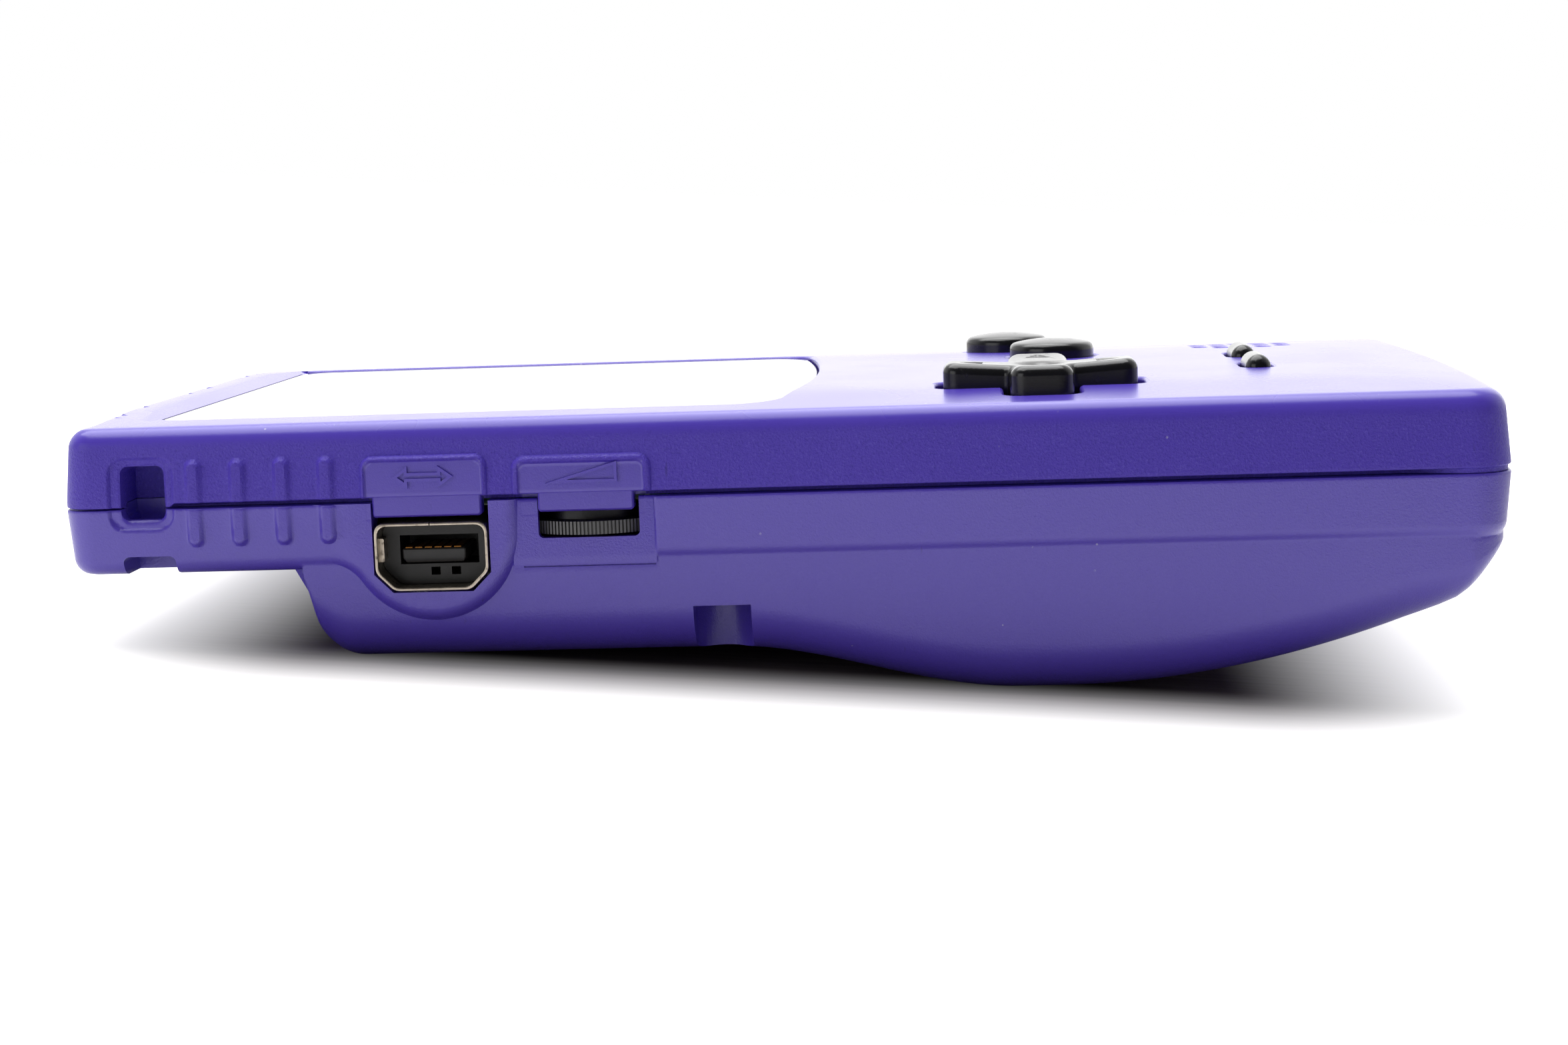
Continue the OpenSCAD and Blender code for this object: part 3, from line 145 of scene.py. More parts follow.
# The glow seen by the camera and in reflections is held back near the case, which also paints the floor there
# darker as painted shade.
glare = (seen * clear_of.ease(0, 30)).most(shiny * clear_of.ease(6, 40) * (1 - clear_of.ease(80, 200)))
glow = start.node("ShaderNodeEmission", None, {"Color": (1, 1, 1, 1), "Strength": glare})
both = start.node("ShaderNodeAddShader", None, {0: matt, 1: glow})
under = start.node("ShaderNodeNewGeometry", None, None, "Backfacing")
clear = start.node("ShaderNodeBsdfTransparent")
shown = start.node("ShaderNodeMixShader", None, {0: under, 1: both, 2: clear})
start.node("ShaderNodeOutputMaterial", None, {"Surface": shown})
table.materials.append(paint)

world = bpy.data.worlds.new("studio")
scene.world = world
world.use_nodes = True
world.node_tree.nodes.clear()
start = Wire(world.node_tree, None)
way = start.node("ShaderNodeTexCoord", None, None, "Generated")
rays = {name: start.node("ShaderNodeLightPath", None, None, name)
        for name in ("Is Camera Ray", "Is Glossy Ray", "Is Transmission Ray")}
behind = way.axis(1).ease(-0.4, 0.35) * 0.93 + 0.07
white = rays["Is Camera Ray"].most(rays["Is Transmission Ray"])
direct = white.most(rays["Is Glossy Ray"] * behind)
strength = direct + (1 - white.most(rays["Is Glossy Ray"])) * 0.21
light = start.node("ShaderNodeBackground", None, {"Color": (1, 1, 1, 1), "Strength": strength})
start.node("ShaderNodeOutputWorld", None, {"Surface": light})

for name, place, aim, size, power in (
        ("top_lamp", (-0.1, 0.16, 0.75), (0, 0, 0.01), 0.8, 8.5),
        ("back_lamp", (0.1, 0.75, 0.22), (0, 0, 0.03), 1.1, 3.4),
        ("front_lamp", (-0.5, -0.5, 0.14), (-0.05, -0.03, 0.01), 0.5, 1.1)):
    lamp = bpy.data.lights.new(name, "AREA")
    lamp.size, lamp.energy = size, power
    hung = bpy.data.objects.new(name, lamp)
    hung.location = place
    hung.rotation_euler = (Vector(aim) - Vector(place)).to_track_quat("-Z", "Y").to_euler()
    scene.collection.objects.link(hung)

yaw, pitch, roll = (math.radians(a) for a in (3.675, 7.074, 1.969))
ahead = Vector((-math.sin(yaw), math.cos(yaw), 0))
right = Vector((math.cos(yaw), math.sin(yaw), 0))
down = Vector((0, 0, -1))
look = ahead * math.cos(pitch) + down * math.sin(pitch)
foot = down * math.cos(pitch) - ahead * math.sin(pitch)
side = right * math.cos(roll) + foot * math.sin(roll)
foot = foot * math.cos(roll) - right * math.sin(roll)
FOCAL, PHOTO_WIDTH = 4268.9, 2352        # of the photograph, in its pixels
eye = bpy.data.cameras.new("camera")
eye.sensor_width = 36.0
eye.lens = 36.0 * FOCAL / PHOTO_WIDTH
eye.clip_start = 0.01
camera = bpy.data.objects.new("camera", eye)
camera.matrix_world = Matrix(((side.x, -foot.x, -look.x, 0.01641), (side.y, -foot.y, -look.y, -0.29393),
                              (side.z, -foot.z, -look.z, 0.04837), (0, 0, 0, 1)))
scene.collection.objects.link(camera)
scene.camera = camera


# Front shell: the front half of the case, injection moulded in purple ABS with a spark-eroded
# grain on its walls. It carries the lens and the keys, and six screws from behind hold it on.
LEAN = math.tan(math.radians(5))        # draft of the walls
END_X, WALL_Y, PROUD_Y = 66.75, 38.7, 38.95     # ends, side walls at the seam, what stands out on them
FACE, RIM = 7.8, 6.4                    # height of the front face and depth of the rear rim
LOW_X, LOW_Y, LOW_R = 61.55, 34.5, 4.2  # centre and radius of the corners at the bottom end
TOP_X, TOP_Y, TOP_R = -63.75, 35.7, 3   # and at the top end
SCREEN_X, SCREEN_L, SCREEN_W = -31.25, 21, 23   # middle and half sizes of the opening for the display
LED, PILLS = (-38.25, -28.5), [(45.75, -7.5), (45.75, 7.5)]
RIDGES, RIDGE_R = [-54.1 + 4.1 * i for i in range(4)], 0.92
LINK_X, VOLUME_X, POWER_X = -32.35, -17.85, -29.95


def smooth(t):
    """An even step from 0 to 1."""
    t = np.clip(t, 0, 1)
    return t * t * (3 - 2 * t)


def soft_min(a, b, k):
    """The lesser of two values, blended where they lie within k."""
    return np.minimum(a, b) - np.maximum(k - np.abs(a - b), 0) ** 2 / (4 * k)


def round_in(depth, r):
    """How far a face with a rounded edge lies back at this distance from the edge."""
    t = np.clip(depth, 0, r)
    return r - np.sqrt(r * r - (r - t) ** 2)


def box_gap(x, z, x0, x1, z0, z1, r):
    """Distance to a round-cornered rectangle, negative inside it."""
    qx = np.abs(x - (x0 + x1) / 2) - (x1 - x0) / 2 + r
    qz = np.abs(z - (z0 + z1) / 2) - (z1 - z0) / 2 + r
    return np.hypot(np.maximum(qx, 0), np.maximum(qz, 0)) + np.minimum(np.maximum(qx, qz), 0) - r


def piece(name, points, faces):
    """A mesh from points in mm, with heights from the parting plane; doubles merged, faces outwards."""
    mesh = bpy.data.meshes.new(name)
    places = (np.asarray(points, float).reshape(-1, 3) + (0, 0, SEAM)) / 1000
    mesh.from_pydata(places.tolist(), [], [list(f) for f in faces])
    made = bpy.data.objects.new(name, mesh)
    scene.collection.objects.link(made)
    bm = bmesh.new()
    bm.from_mesh(mesh)
    bmesh.ops.remove_doubles(bm, verts=bm.verts, dist=2e-6)
    bmesh.ops.dissolve_degenerate(bm, dist=1e-6, edges=bm.edges)
    bmesh.ops.recalc_face_normals(bm, faces=bm.faces)
    bm.to_mesh(mesh)
    bm.free()
    return made


def between(rings, closed=False):
    """Faces from each ring to the next, and from the last to the first of a closed row."""
    n, count = len(rings[0]), len(rings)
    return [[k * n + i, k * n + (i + 1) % n, (k + 1) % count * n + (i + 1) % n, (k + 1) % count * n + i]
            for k in range(count if closed else count - 1) for i in range(n)]


def stack(name, rings):
    """A closed solid through rings of equal count, with a flat cap on each end."""
    n = len(rings[0])
    faces = between(rings) + [range(n - 1, -1, -1), range((len(rings) - 1) * n, len(rings) * n)]
    return piece(name, np.concatenate([np.asarray(r, float) for r in rings]), faces)


def tube(name, rings):
    """A ring-shaped solid: rings joined one to the next and the last to the first."""
    return piece(name, np.concatenate(rings), between(rings, True))


def level(ring, z):
    """A flat outline at one height."""
    return np.c_[ring, np.full(len(ring), z)]


def upright(ring, y):
    """An outline along the side and in height, at one distance from the middle."""
    return np.c_[ring[:, 0], np.full(len(ring), y), ring[:, 1]]


def hoop(outer, inside, place, low, high, name):
    """A closed band between two outlines, from one place to another."""
    return tube(name, [place(ring, at) for ring, at in
                       ((outer, low), (outer, high), (inside, high), (inside, low))])


def bar(low, high, name="bar"):
    """A block between two corners."""
    (x0, y0, z0), (x1, y1, z1) = low, high
    ring = np.array([(x0, y0), (x1, y0), (x1, y1), (x0, y1)])
    return stack(name, [level(ring, z) for z in (z0, z1)])


def disc(at, r, count=48):
    """A circle as a list of points."""
    a = np.arange(count) * 2 * math.pi / count
    return np.c_[at[0] + r * np.cos(a), at[1] + r * np.sin(a)]


def rod(at, r, z0, z1, count=40, name="rod"):
    """An upright round rod."""
    return stack(name, [level(disc(at, r, count), z) for z in (z0, z1)])


def rounded(x0, x1, y0, y1, r, count=6):
    """Round-cornered rectangle as a list of points."""
    return np.array([(cx + r * math.cos(math.radians(a + 90 * i / count)),
                      cy + r * math.sin(math.radians(a + 90 * i / count)))
                     for cx, cy, a in ((x1 - r, y1 - r, 0), (x0 + r, y1 - r, 90),
                                       (x0 + r, y0 + r, 180), (x1 - r, y0 + r, 270))
                     for i in range(count + 1)])


def grown(ring, by):
    """An outline moved outwards along its own corners."""
    back, on = np.roll(ring, 1, 0), np.roll(ring, -1, 0)
    a, b = ring - back, on - ring
    a, b = (v / np.maximum(np.linalg.norm(v, axis=1, keepdims=True), 1e-9) for v in (a, b))
    out = np.c_[a[:, 1] + b[:, 1], -a[:, 0] - b[:, 0]]
    return ring + by * out * (2 / np.maximum((out ** 2).sum(1, keepdims=True), 1e-9))


def settle(target):
    """Makes what a piece's modifiers do part of its mesh."""
    result = bpy.data.meshes.new_from_object(target.evaluated_get(bpy.context.evaluated_depsgraph_get()))
    target.modifiers.clear()
    target.data = result


def carve(target, tools, operation="DIFFERENCE"):
    """Cuts the tools out of a solid, or adds them to it, and removes them."""
    for tool in tools:
        step = target.modifiers.new("carve", "BOOLEAN")
        step.operation, step.solver, step.object = operation, "MANIFOLD", tool
    settle(target)
    for tool in tools:
        bpy.data.objects.remove(tool)


def soften(target, angle=32):
    """Smooth shading with its sharp edges kept, and normals led by the large faces."""
    target.data.shade_smooth()
    target.data.set_sharp_from_angle(angle=math.radians(angle))
    step = target.modifiers.new("normals", "WEIGHTED_NORMAL")
    step.keep_sharp = True
    settle(target)


def side_columns():
    """Stations along a side wall, close together where something stands on it or is cut in it."""
    near = np.array([-0.6, -0.45, -0.32, -0.2, -0.1, 0, 0.1, 0.2, 0.32, 0.45, 0.6])
    close = [np.arange(TOP_X, 61.5, 1.5), np.array([LOW_X]), np.arange(-44.8, -40.6, 0.16),
             np.arange(-41, -23.4, 0.6), np.arange(-20, -9, 0.6)]
    close += [x + np.linspace(-0.95, 0.95, 15) for x in RIDGES]
    close += [x + near for x in (-62.2, -60.75, -56.97, -55.9, -38.65, -37.7, -27.9, -26.95, -36.0, -24.05,
                                 -24.7, -23.8, -12.8, -11.95, -11.8)]
    xs = np.sort(np.concatenate(close))
    kept = [xs[0]]
    for x in xs[1:]:
        if x - kept[-1] > 0.07 and x <= LOW_X:
            kept.append(x)
    kept[-1] = LOW_X
    return np.array(kept)


def ridge(far):
    """How much of its height a grip ridge has at this distance from its middle line."""
    return smooth((RIDGE_R - far) / 0.55)


def dished(y, x, z):
    """The left side wall with the dish and the rounded mouth of the cord hole in it."""
    y = y - 0.3 * smooth(-box_gap(x, z, -62.2, -55.9, -2.3, 4.6, 1.6) / 0.35)
    return y - round_in(box_gap(x, z, -60.75, -56.97, -1.28, 3.71, 0.7), 0.5)


def front_side(x, z, left):
    """How far out the front shell's wall stands, with its ridges, label pads and cord hole's dish."""
    wall = WALL_Y - z * LEAN
    y = wall.copy()
    pads = ((-38.65, -26.95, 4.1, 0.3), (-24.7, -11.95, 3.75, 0.5)) if left else ((-36.35, -23.55, 3.8, 0.4),)
    for x0, x1, top, lip in pads:
        gap = box_gap(x, z, x0, x1, -6, top, 1.3)
        y += (PROUD_Y - wall) * np.sqrt(np.clip(1 - (1 - np.clip(-gap / 0.5, 0, 1)) ** 2, 0, 1))
        y -= 0.26 * smooth((-gap - lip) / 0.32)
    for at in RIDGES:
        far = np.hypot(x - at, np.maximum(z - 3.45, 0))
        y = np.maximum(y, wall + (PROUD_Y - wall) * ridge(far))
    if left:
        y = dished(y, x, z)
    return y


def straight(xs, way):
    """Points and outward directions along a side wall."""
    return np.c_[xs, np.full(len(xs), way * WALL_Y), np.zeros(len(xs)), np.full(len(xs), way)]


def arc(cx, cy, r, first, last, count):
    """Points and outward directions along an arc, without its first point."""
    a = np.radians(np.linspace(first, last, count + 1))[1:]
    return np.c_[cx + r * np.cos(a), cy + r * np.sin(a), np.cos(a), np.sin(a)]


side_x = side_columns()
t = np.linspace(-1, 1, 21)[1:]
bow = np.c_[END_X - t * t, LOW_Y * t, np.ones(20), 2 / LOW_Y * t]
end = np.linspace(TOP_Y, -TOP_Y, 31)[1:]
columns = np.concatenate([
    straight(side_x, -1.0), arc(LOW_X, -LOW_Y, LOW_R, -90, 0, 14), bow, arc(LOW_X, LOW_Y, LOW_R, 0, 90, 14),
    straight(side_x[::-1], 1.0)[1:],
    arc(TOP_X, TOP_Y, TOP_R, 90, 180, 10), np.c_[np.full(30, -END_X), end, -np.ones(30), np.zeros(30)],
    arc(TOP_X, -TOP_Y, TOP_R, 180, 270, 10)[:-1]])
rows = [(LEAN * 5.2 + 2 - 2 * math.cos(a), 5.2 + 2 * math.sin(a), 0) for a in np.linspace(math.pi / 2, 0, 9)]
rows += [(LEAN * z, z, 0) for z in (5, 4.82, 4.68, 4.55, 4.42, 4.3, 4.2, 4.1, 4.0, 3.9, 3.8, 3.7, 3.6, 3.48,
                                     3.36, 3.24, 3.12, 3, 2.85, 2.7, 2.5, 2.2, 1.8, 1.4, 1, 0.7, 0.47)]
rows += [(LEAN * 0.3, z, back) for z, back in ((0.37, 0.02), (0.3, 0.07), (0.25, 0.18))]
grid = np.zeros((len(rows), len(columns), 3))
for k, (inset, z, back) in enumerate(rows):
    inset = np.full(len(columns), inset)
    for left, n_y in ((True, -1), (False, 1)):
        on = (columns[:, 3] == n_y) & (columns[:, 2] == 0)
        if k > 8:
            inset[on] = WALL_Y - front_side(columns[on, 0], np.full(on.sum(), z), left)
    inset += back
    grid[k] = np.c_[columns[:, 0] - columns[:, 2] * inset, columns[:, 1] - columns[:, 3] * inset,
                    np.full(len(columns), z)]
grid[-3:, :, 2] -= 0.36 * smooth((-55.9 - grid[-3:, :, 0]) / 0.6) * (grid[-3:, :, 1] < -30)


def face_height(x, y):
    """Height of the front face: a flat middle that falls away to the sides and to the bottom end."""
    fall = soft_min(7.2 + 0.6 * (36.25 - np.abs(y)) / 12.75, 7.2 + 0.6 * (64.3 - x) / 7.5, 0.3)
    return soft_min(soft_min(fall, np.full_like(x, FACE), 0.12), 7.2 + (x + 64.3) * 1.6, 0.2)


def capped(name, rings, top, inner):
    """A solid through rings, flat below, closed by a surface over the last ring and some inner points."""
    last, n = rings[-1], len(rings[-1])
    got = delaunay_2d_cdt([Vector(p[:2]) for p in last] + [Vector(p) for p in inner],
                          [(i, (i + 1) % n) for i in range(n)], [], 1, 1e-5)
    lid = np.array([(v.x, v.y) for v in got[0]])
    lid = np.c_[lid, top(lid[:, 0], lid[:, 1])]
    for i, sources in enumerate(got[3]):
        edge = [k for k in sources if k < n]
        if edge:
            lid[i] = last[edge[0]]
    faces = between(rings) + [range(n - 1, -1, -1)] + [[len(rings) * n + i for i in f] for f in got[2]]
    return piece(name, np.concatenate([*rings, lid]), faces)


inner = [(x, y) for x in np.arange(-63, 63, 1.9) for y in
         (*np.arange(-34.5, -24.4, 1.7), -23.5, *np.arange(-20, 21, 8), 23.5, *np.arange(24.6, 34.6, 1.7))
         if abs(y) < 33 or x < 57]
inner += [(x, y) for x in (-64.1, -63.9, -63.75) for y in end[:-1]]
front = capped("front_shell", list(grid[::-1]), face_height, inner)


def plan(inset, count=10):
    """Outline of the case, drawn in, without the bow of its bottom end."""
    ring = []
    for cx, cy, r, a in ((65.75 - inset, 39 - inset, LOW_R, 0), (-END_X + inset, 39 - inset, TOP_R, 90),
                         (-END_X + inset, inset - 39, TOP_R, 180), (65.75 - inset, inset - 39, LOW_R, 270)):
        r = max(r - inset, 0.8)
        for i in range(count + 1):
            b = math.radians(a + 90 * i / count)
            ring.append((cx - math.copysign(r, cx) + r * math.cos(b),
                         cy - math.copysign(r, cy) + r * math.sin(b)))
    return np.array(ring)


def prism(ring, steps, name="prism", crowned=False):
    """A solid with this outline, grown by a step's first number at its second number's height."""
    levels = []
    for by, z in steps:
        at = grown(ring, by) if by else ring
        high = np.full(len(at), float(z))
        if crowned and z > 6.5:
            high += face_height(at[:, 0], at[:, 1]) - FACE
        levels.append(np.c_[at, high])
    return stack(name, levels)


def mouth(ring, low, soft=0.4):
    """A cutter for a hole in the front face with a softly rounded mouth."""
    bend = [(soft * (1 - math.cos(a)), FACE - soft + soft * math.sin(a))
            for a in np.radians((0, 20, 40, 60, 78))]
    return prism(ring, [(0, low)] + bend + [(bend[-1][0], 9.5)], "mouth", True)


def lens_plan(room):
    """Outline of the lens, with its bowed lower edge."""
    x0, x1, y = -59.25 - room, 1.35 + room - 2, 31.9 + room
    a0, a1 = np.radians(np.arange(180, 271, 10)), np.radians(np.arange(270, 351, 10))
    t = np.linspace(-1, 1, 25)
    half = np.concatenate([np.c_[x0 + 3 + 3 * np.cos(a0), 3 - y + 3 * np.sin(a0)],
                           np.c_[x1 - 5 + 5 * np.cos(a1), 5 - y + 5 * np.sin(a1)]])
    return np.concatenate([half, np.c_[x1 + 2 * (1 - t * t), t * (y - 5)], half[::-1] * (1, -1)])


def moved(at, ring):
    """An outline drawn round the origin, set down at its place."""
    return np.array(at) + ring


def cross(length, arm, r_out, r_in):
    """Outline of the direction pad, with rounded ends and rounded inner corners."""
    l, w, ring = length / 2, arm / 2, []
    for turn in range(4):
        base = turn * 90
        local = [(l - r_out + r_out * math.cos(math.radians(a)), -w + r_out + r_out * math.sin(math.radians(a)))
                 for a in range(-90, 1, 15)]
        local += [(l - r_out + r_out * math.cos(math.radians(a)), w - r_out + r_out * math.sin(math.radians(a)))
                  for a in range(0, 91, 15)]
        local += [(w + r_in - r_in * math.cos(math.radians(a)), w + r_in - r_in * math.sin(math.radians(a)))
                  for a in range(90, -1, -15)]
        c, s = round(math.cos(math.radians(base))), round(math.sin(math.radians(base)))
        ring += [(c * x - s * y, s * x + c * y) for x, y in local]
    return np.array(ring)


DPAD, KEY_A, KEY_B = (23.85, -22.1), (21.55, 27.0), (26.15, 14.0)
PILL = (-1.3, 1.3, -3.7, 3.7, 1.25)
sound = [(47.05 + 2.6 * row * math.sin(math.radians(60)), 23.5 + 2.6 * (i - (4 - abs(row)) / 2))
         for row in range(-2, 3) for i in range(5 - abs(row))]
carve(front, [prism(plan(2.4), [(0, -1), (0, 5)])])
set_in = 1.7 - 1.4 * smooth((columns[:, :1] - 56) / 5)
land = [columns[:, :2] - columns[:, 2:] * by for by in (set_in, 2.5)]
carve(front, [hoop(*land, level, -0.2, 1.0, "land")], "UNION")
slope = np.array([(-61.45, 7.81), (-59.0, 7.1), (-59.0, 7.81)])
bevel = stack("bevel", [upright(slope, y) for y in (-31.9, 31.9)])
carve(front, [mouth(lens_plan(0.15), 6.0), bevel,
              bar((SCREEN_X - SCREEN_L, -SCREEN_W, 4), (SCREEN_X + SCREEN_L, SCREEN_W, 8)),
              rod(LED, 1.3, 4, 8, 24),
              mouth(moved(DPAD, cross(19.9, 7.1, 1.6, 0.5)), 4), mouth(disc(KEY_A, 4.8), 4),
              mouth(disc(KEY_B, 4.8), 4)]
      + [mouth(moved(at, grown(rounded(*PILL, 10), 0.3)), 4, 0.3) for at in PILLS])
carve(front, [mouth(disc(at, 0.8, 20), 4, 0.25) for at in sound])


def side_prism(ring, y0, y1, name="side_prism"):
    """A solid across the left side wall, with an outline along the side and in height."""
    return stack(name, [upright(ring, y) for y in (y0, y1)])


strap = rounded(-61.0, -56.97, -1.28, 3.71, 0.7)
carve(front, [bar((-62.0, -37.9, 0.26), (-55.7, -31.8, 5.2))], "UNION")
carve(front, [side_prism(strap, -40, -33.0), bar((-68, -7.15, -3), (-64, 7.15, 2.75))])
soft_edge = ((0, 37.0), (0, 38.3), (-0.06, 38.47), (-0.2, 38.6))
tabs = [stack("tab", [upright(grown(rounded(x0, x1, low, 0.9, 0.35), by), y * way) for by, y in soft_edge])
        for x0, x1, low, way in ((-37.66, -27.56, -1.6, -1), (-22.4, -13.6, -1.45, -1),
                                 (POWER_X - 4.4, POWER_X + 4.4, -1.45, 1))]
carve(front, tabs, "UNION")
arrow = [(-35.6, 2.1), (-34.2, 3.1), (-34.2, 2.5), (-31.4, 2.5), (-31.4, 3.1), (-30.0, 2.1),
         (-31.4, 1.1), (-31.4, 1.7), (-34.2, 1.7), (-34.2, 1.1)]
wedge = [(-21.6, 1.2), (-15.0, 1.2), (-15.0, 3.1)]
signs = [hoop(line, grown(line, -0.28), upright, -38.96, -38.4, "sign")
         for line in (np.array(wedge), np.array(arrow[::-1]))]
carve(front, signs, "UNION")
soften(front)


def finish(name):
    """A new material, its shader and a wire with the piece's own coordinates."""
    made = bpy.data.materials.new(name)
    made.use_nodes = True
    shader = made.node_tree.nodes["Principled BSDF"]
    wire = Wire(made.node_tree, None).node("ShaderNodeTexCoord", None, None, "Object")
    return made, shader, wire


def plug_in(shader, **sockets):
    """Sets or links the named sockets of a shader, with _ for a space."""
    for key, value in sockets.items():
        socket = shader.inputs[key.replace("_", " ")]
        if isinstance(value, Wire):
            value.tree.links.new(value.socket, socket)
        else:
            socket.default_value = value


def dress(target, surface, slot, body, *nodes):
    """Gives a piece its material, hides the imported parts that it stands for and hangs it on its body."""
    target.data.materials.clear()
    target.data.materials.append(surface)
    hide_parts(*nodes)
    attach(target, body)


def case_plastic(name, coarse):
    """Purple ABS: walls with this much coarse grain, its peaks painted lighter as painted glints and its pits
    darker as painted shade, a smooth face above, some wear and dust.
    """
    made, shader, place = finish(name)
    mm = place.stretch(1000, 1000, 1000)
    wall = 1 - mm.axis(2).ease(24.5, 25.8)
    pads = ((abs(mm.axis(0) + 32.8) - 5.4).most(mm.axis(2) - SEAM - 3.6)).least(
        (abs(mm.axis(0) + 18.33) - 5.7).most(mm.axis(2) - SEAM - 3.1)).most(mm.axis(1))
    pads = pads.least((abs(mm.axis(0) + 29.95) - 5.8).most(mm.axis(2) - SEAM - 3.2).most(mm.axis(1) * -1))
    polished = 1 - pads.most(SEAM - 1.8 - mm.axis(2)).ease(-0.1, 0.1)
    rough_wall = wall * coarse * (1 - 0.85 * polished)
    cloud = place.noise(60, 3)
    grain = place.noise(4600, 2, 0.65)
    fine = place.noise(11000, 1)
    scuff = place.stretch(1, 1, 0.1).noise(1700, 2, 0.4).ease(0.72, 0.8) * place.noise(150, 1).ease(0.56, 0.64)
    speck = place.node("ShaderNodeTexVoronoi", {"feature": "F1"}, {"Vector": place, "Scale": 420}).below(0.05)
    speck = speck * place.noise(310, 1).ease(0.58, 0.62)
    tone = cloud.mix(tint("#523ebc"), tint("#5a46c4"))
    # Painted highlight and shade: the grain's peaks are painted a lighter purple as glints and its pits a
    # darker purple as shade.
    tone = (grain.ease(0.55, 0.8) * rough_wall * 0.3).mix(tone, tint("#8478e2"))
    tone = ((0.5 - grain).ease(0.0, 0.25) * rough_wall * 0.3).mix(tone, tint("#2f2288"))
    tone = (scuff * 0.35).mix(tone, tint("#2b2358"))
    tone = (speck * 0.5).mix(tone, tint("#b9b3d8"))
    relief = (grain * (rough_wall * 0.97 + 0.03) + fine * (wall * 0.1 + 0.04)).bump(0.8, 0.00013)
    plug_in(shader, Base_Color=tone, Roughness=0.22 + rough_wall * 0.12 + cloud * 0.1 + scuff * 0.1,
            Normal=relief, IOR=1.54, Specular_IOR_Level=0.75 - 0.45 * coarse,
            Coat_Weight=(polished * (coarse - 0.25)).most((1 - wall) * 0.22), Coat_Roughness=0.25)
    return made


purple = case_plastic("case_purple", 1.0)
dress(front, purple, "case_purple", "case", "front_shell")


# Rear shell: the back half of the case, moulded in the same plastic as one piece with the rim,
# the cartridge housing, the battery bulge and the boss round the link port.
LINK_Z, BOSS_R, RIM_R, INLET = -3.2, 8.25, 1.5, (-14.45, -4.1)


def back_at(x, y=37):
    """Depth of the back below the parting plane; the housing's end is well rounded beside its mouth."""
    swell = np.where(x < 25.05, 15.1 + 4.5 * smooth((x + 5.95) / 27), 19.6 - (x - 25.05) ** 2 / 170)
    swell = soft_min(swell, 6.5 + (65.2 - x) * 1.42, 1.5)
    run = np.clip(-39.85 - x, 0, 4)
    round_end = np.where(x < -43.81, RIM + (x + 44.6) / 0.15, swell - 4 + np.sqrt(16 - run * run))
    beside = smooth((np.abs(y) - 29.5) / 4)
    return soft_min(swell, 6.9 + (x + 44.5) / 0.15, 9) * (1 - beside) + round_end * beside


def half_at(x):
    """Half the width of the bulge, drawn in round its end corner."""
    run = x - 60.7
    return np.where(run < 0, 37.9, 33.4 + np.sqrt(np.maximum(20.25 - run * run, 1)))


def depth_at(x, y=37):
    """Depth of the rear shell, which is the rim's own depth beyond the ends of the back."""
    return np.where((x > -44.6) & (x < 65.15), np.maximum(back_at(x, y), RIM), RIM)


def bulge_edge(deep):
    """Radius of the bulge's lower edge, smaller where the bulge is shallow."""
    return np.maximum(np.minimum(4.5, 0.6 * (deep - RIM)), 0.01)


def rear_side(x, z, left):
    """How far out the rear shell's side stands: rim, boss, window panel, ridges and bulge."""
    d, low = -z, np.full_like(x, -60.0)
    rim, deep = WALL_Y - d * LEAN, depth_at(x)
    flank = half_at(x) - np.maximum(d - 5.7, 0) * LEAN
    y = np.where(deep > RIM + 0.01, flank - round_in(deep - d, bulge_edge(deep)), low)
    if left:
        y = np.maximum(y, np.where((d <= RIM) & (x < LINK_X), rim - round_in(RIM - d, RIM_R), low))
        far, panel = x + 11.8, (x > -25) & (x < -11.7)
    else:
        near = -36.0 - x
        y = np.maximum(y, np.where((near > 0) & (d <= RIM), rim - np.maximum(
            round_in(RIM - d, RIM_R), round_in(near, 0.3)), low))
        far, panel = x + 23.9, (x > -36.1) & (x < -23.8)
        inlet = soft_min(np.maximum(d - RIM, -18.0 - x), np.hypot(x - INLET[0], d + INLET[1]) - 4.4, 1.5)
        y = np.maximum(y, np.where((inlet < 0) & (x > -20), rim - round_in(-inlet, 1.2), low))
    y = np.maximum(y, np.where((far > 0) & (d <= RIM), rim - np.maximum(
        round_in(RIM - d, RIM_R), round_in(far, 0.3)), low))
    y = np.where(panel & (d < 6.45), np.maximum(y, flank + 0.14), y)
    for at in RIDGES:
        off = np.hypot(x - at, np.maximum(d - 3.05, 0))
        y = np.maximum(y, np.where(off < RIDGE_R, rim + (PROUD_Y - rim) * ridge(off), low))
    if left:
        y = dished(y, x, z)
    return y


a = np.radians(np.linspace(0, 90, 12))[:-1]
t = np.linspace(1, 0, 12)[1:]
stations = np.concatenate([
    np.c_[TOP_X - TOP_R * np.cos(a), TOP_Y + TOP_R * np.sin(a), -np.cos(a), np.sin(a)],
    straight(side_x, 1.0), arc(LOW_X, LOW_Y, LOW_R, 90, 0, 20),
    np.c_[END_X - t * t, LOW_Y * t, np.ones(11), 2 / LOW_Y * t]])
px, py, nx, ny = stations.T
on_side = (nx == 0) & (py == WALL_Y)
wall_z = -np.concatenate([[0.25, 0.3, 0.37], np.arange(0.47, RIM, 0.17), [RIM]])
seam_back = {0: 0.18, 1: 0.07, 2: 0.02}
steps_low = np.sin(np.linspace(0, math.pi / 2, 30))[1:]
lo, hi = np.zeros(len(px)), np.full(len(px), 4.0)
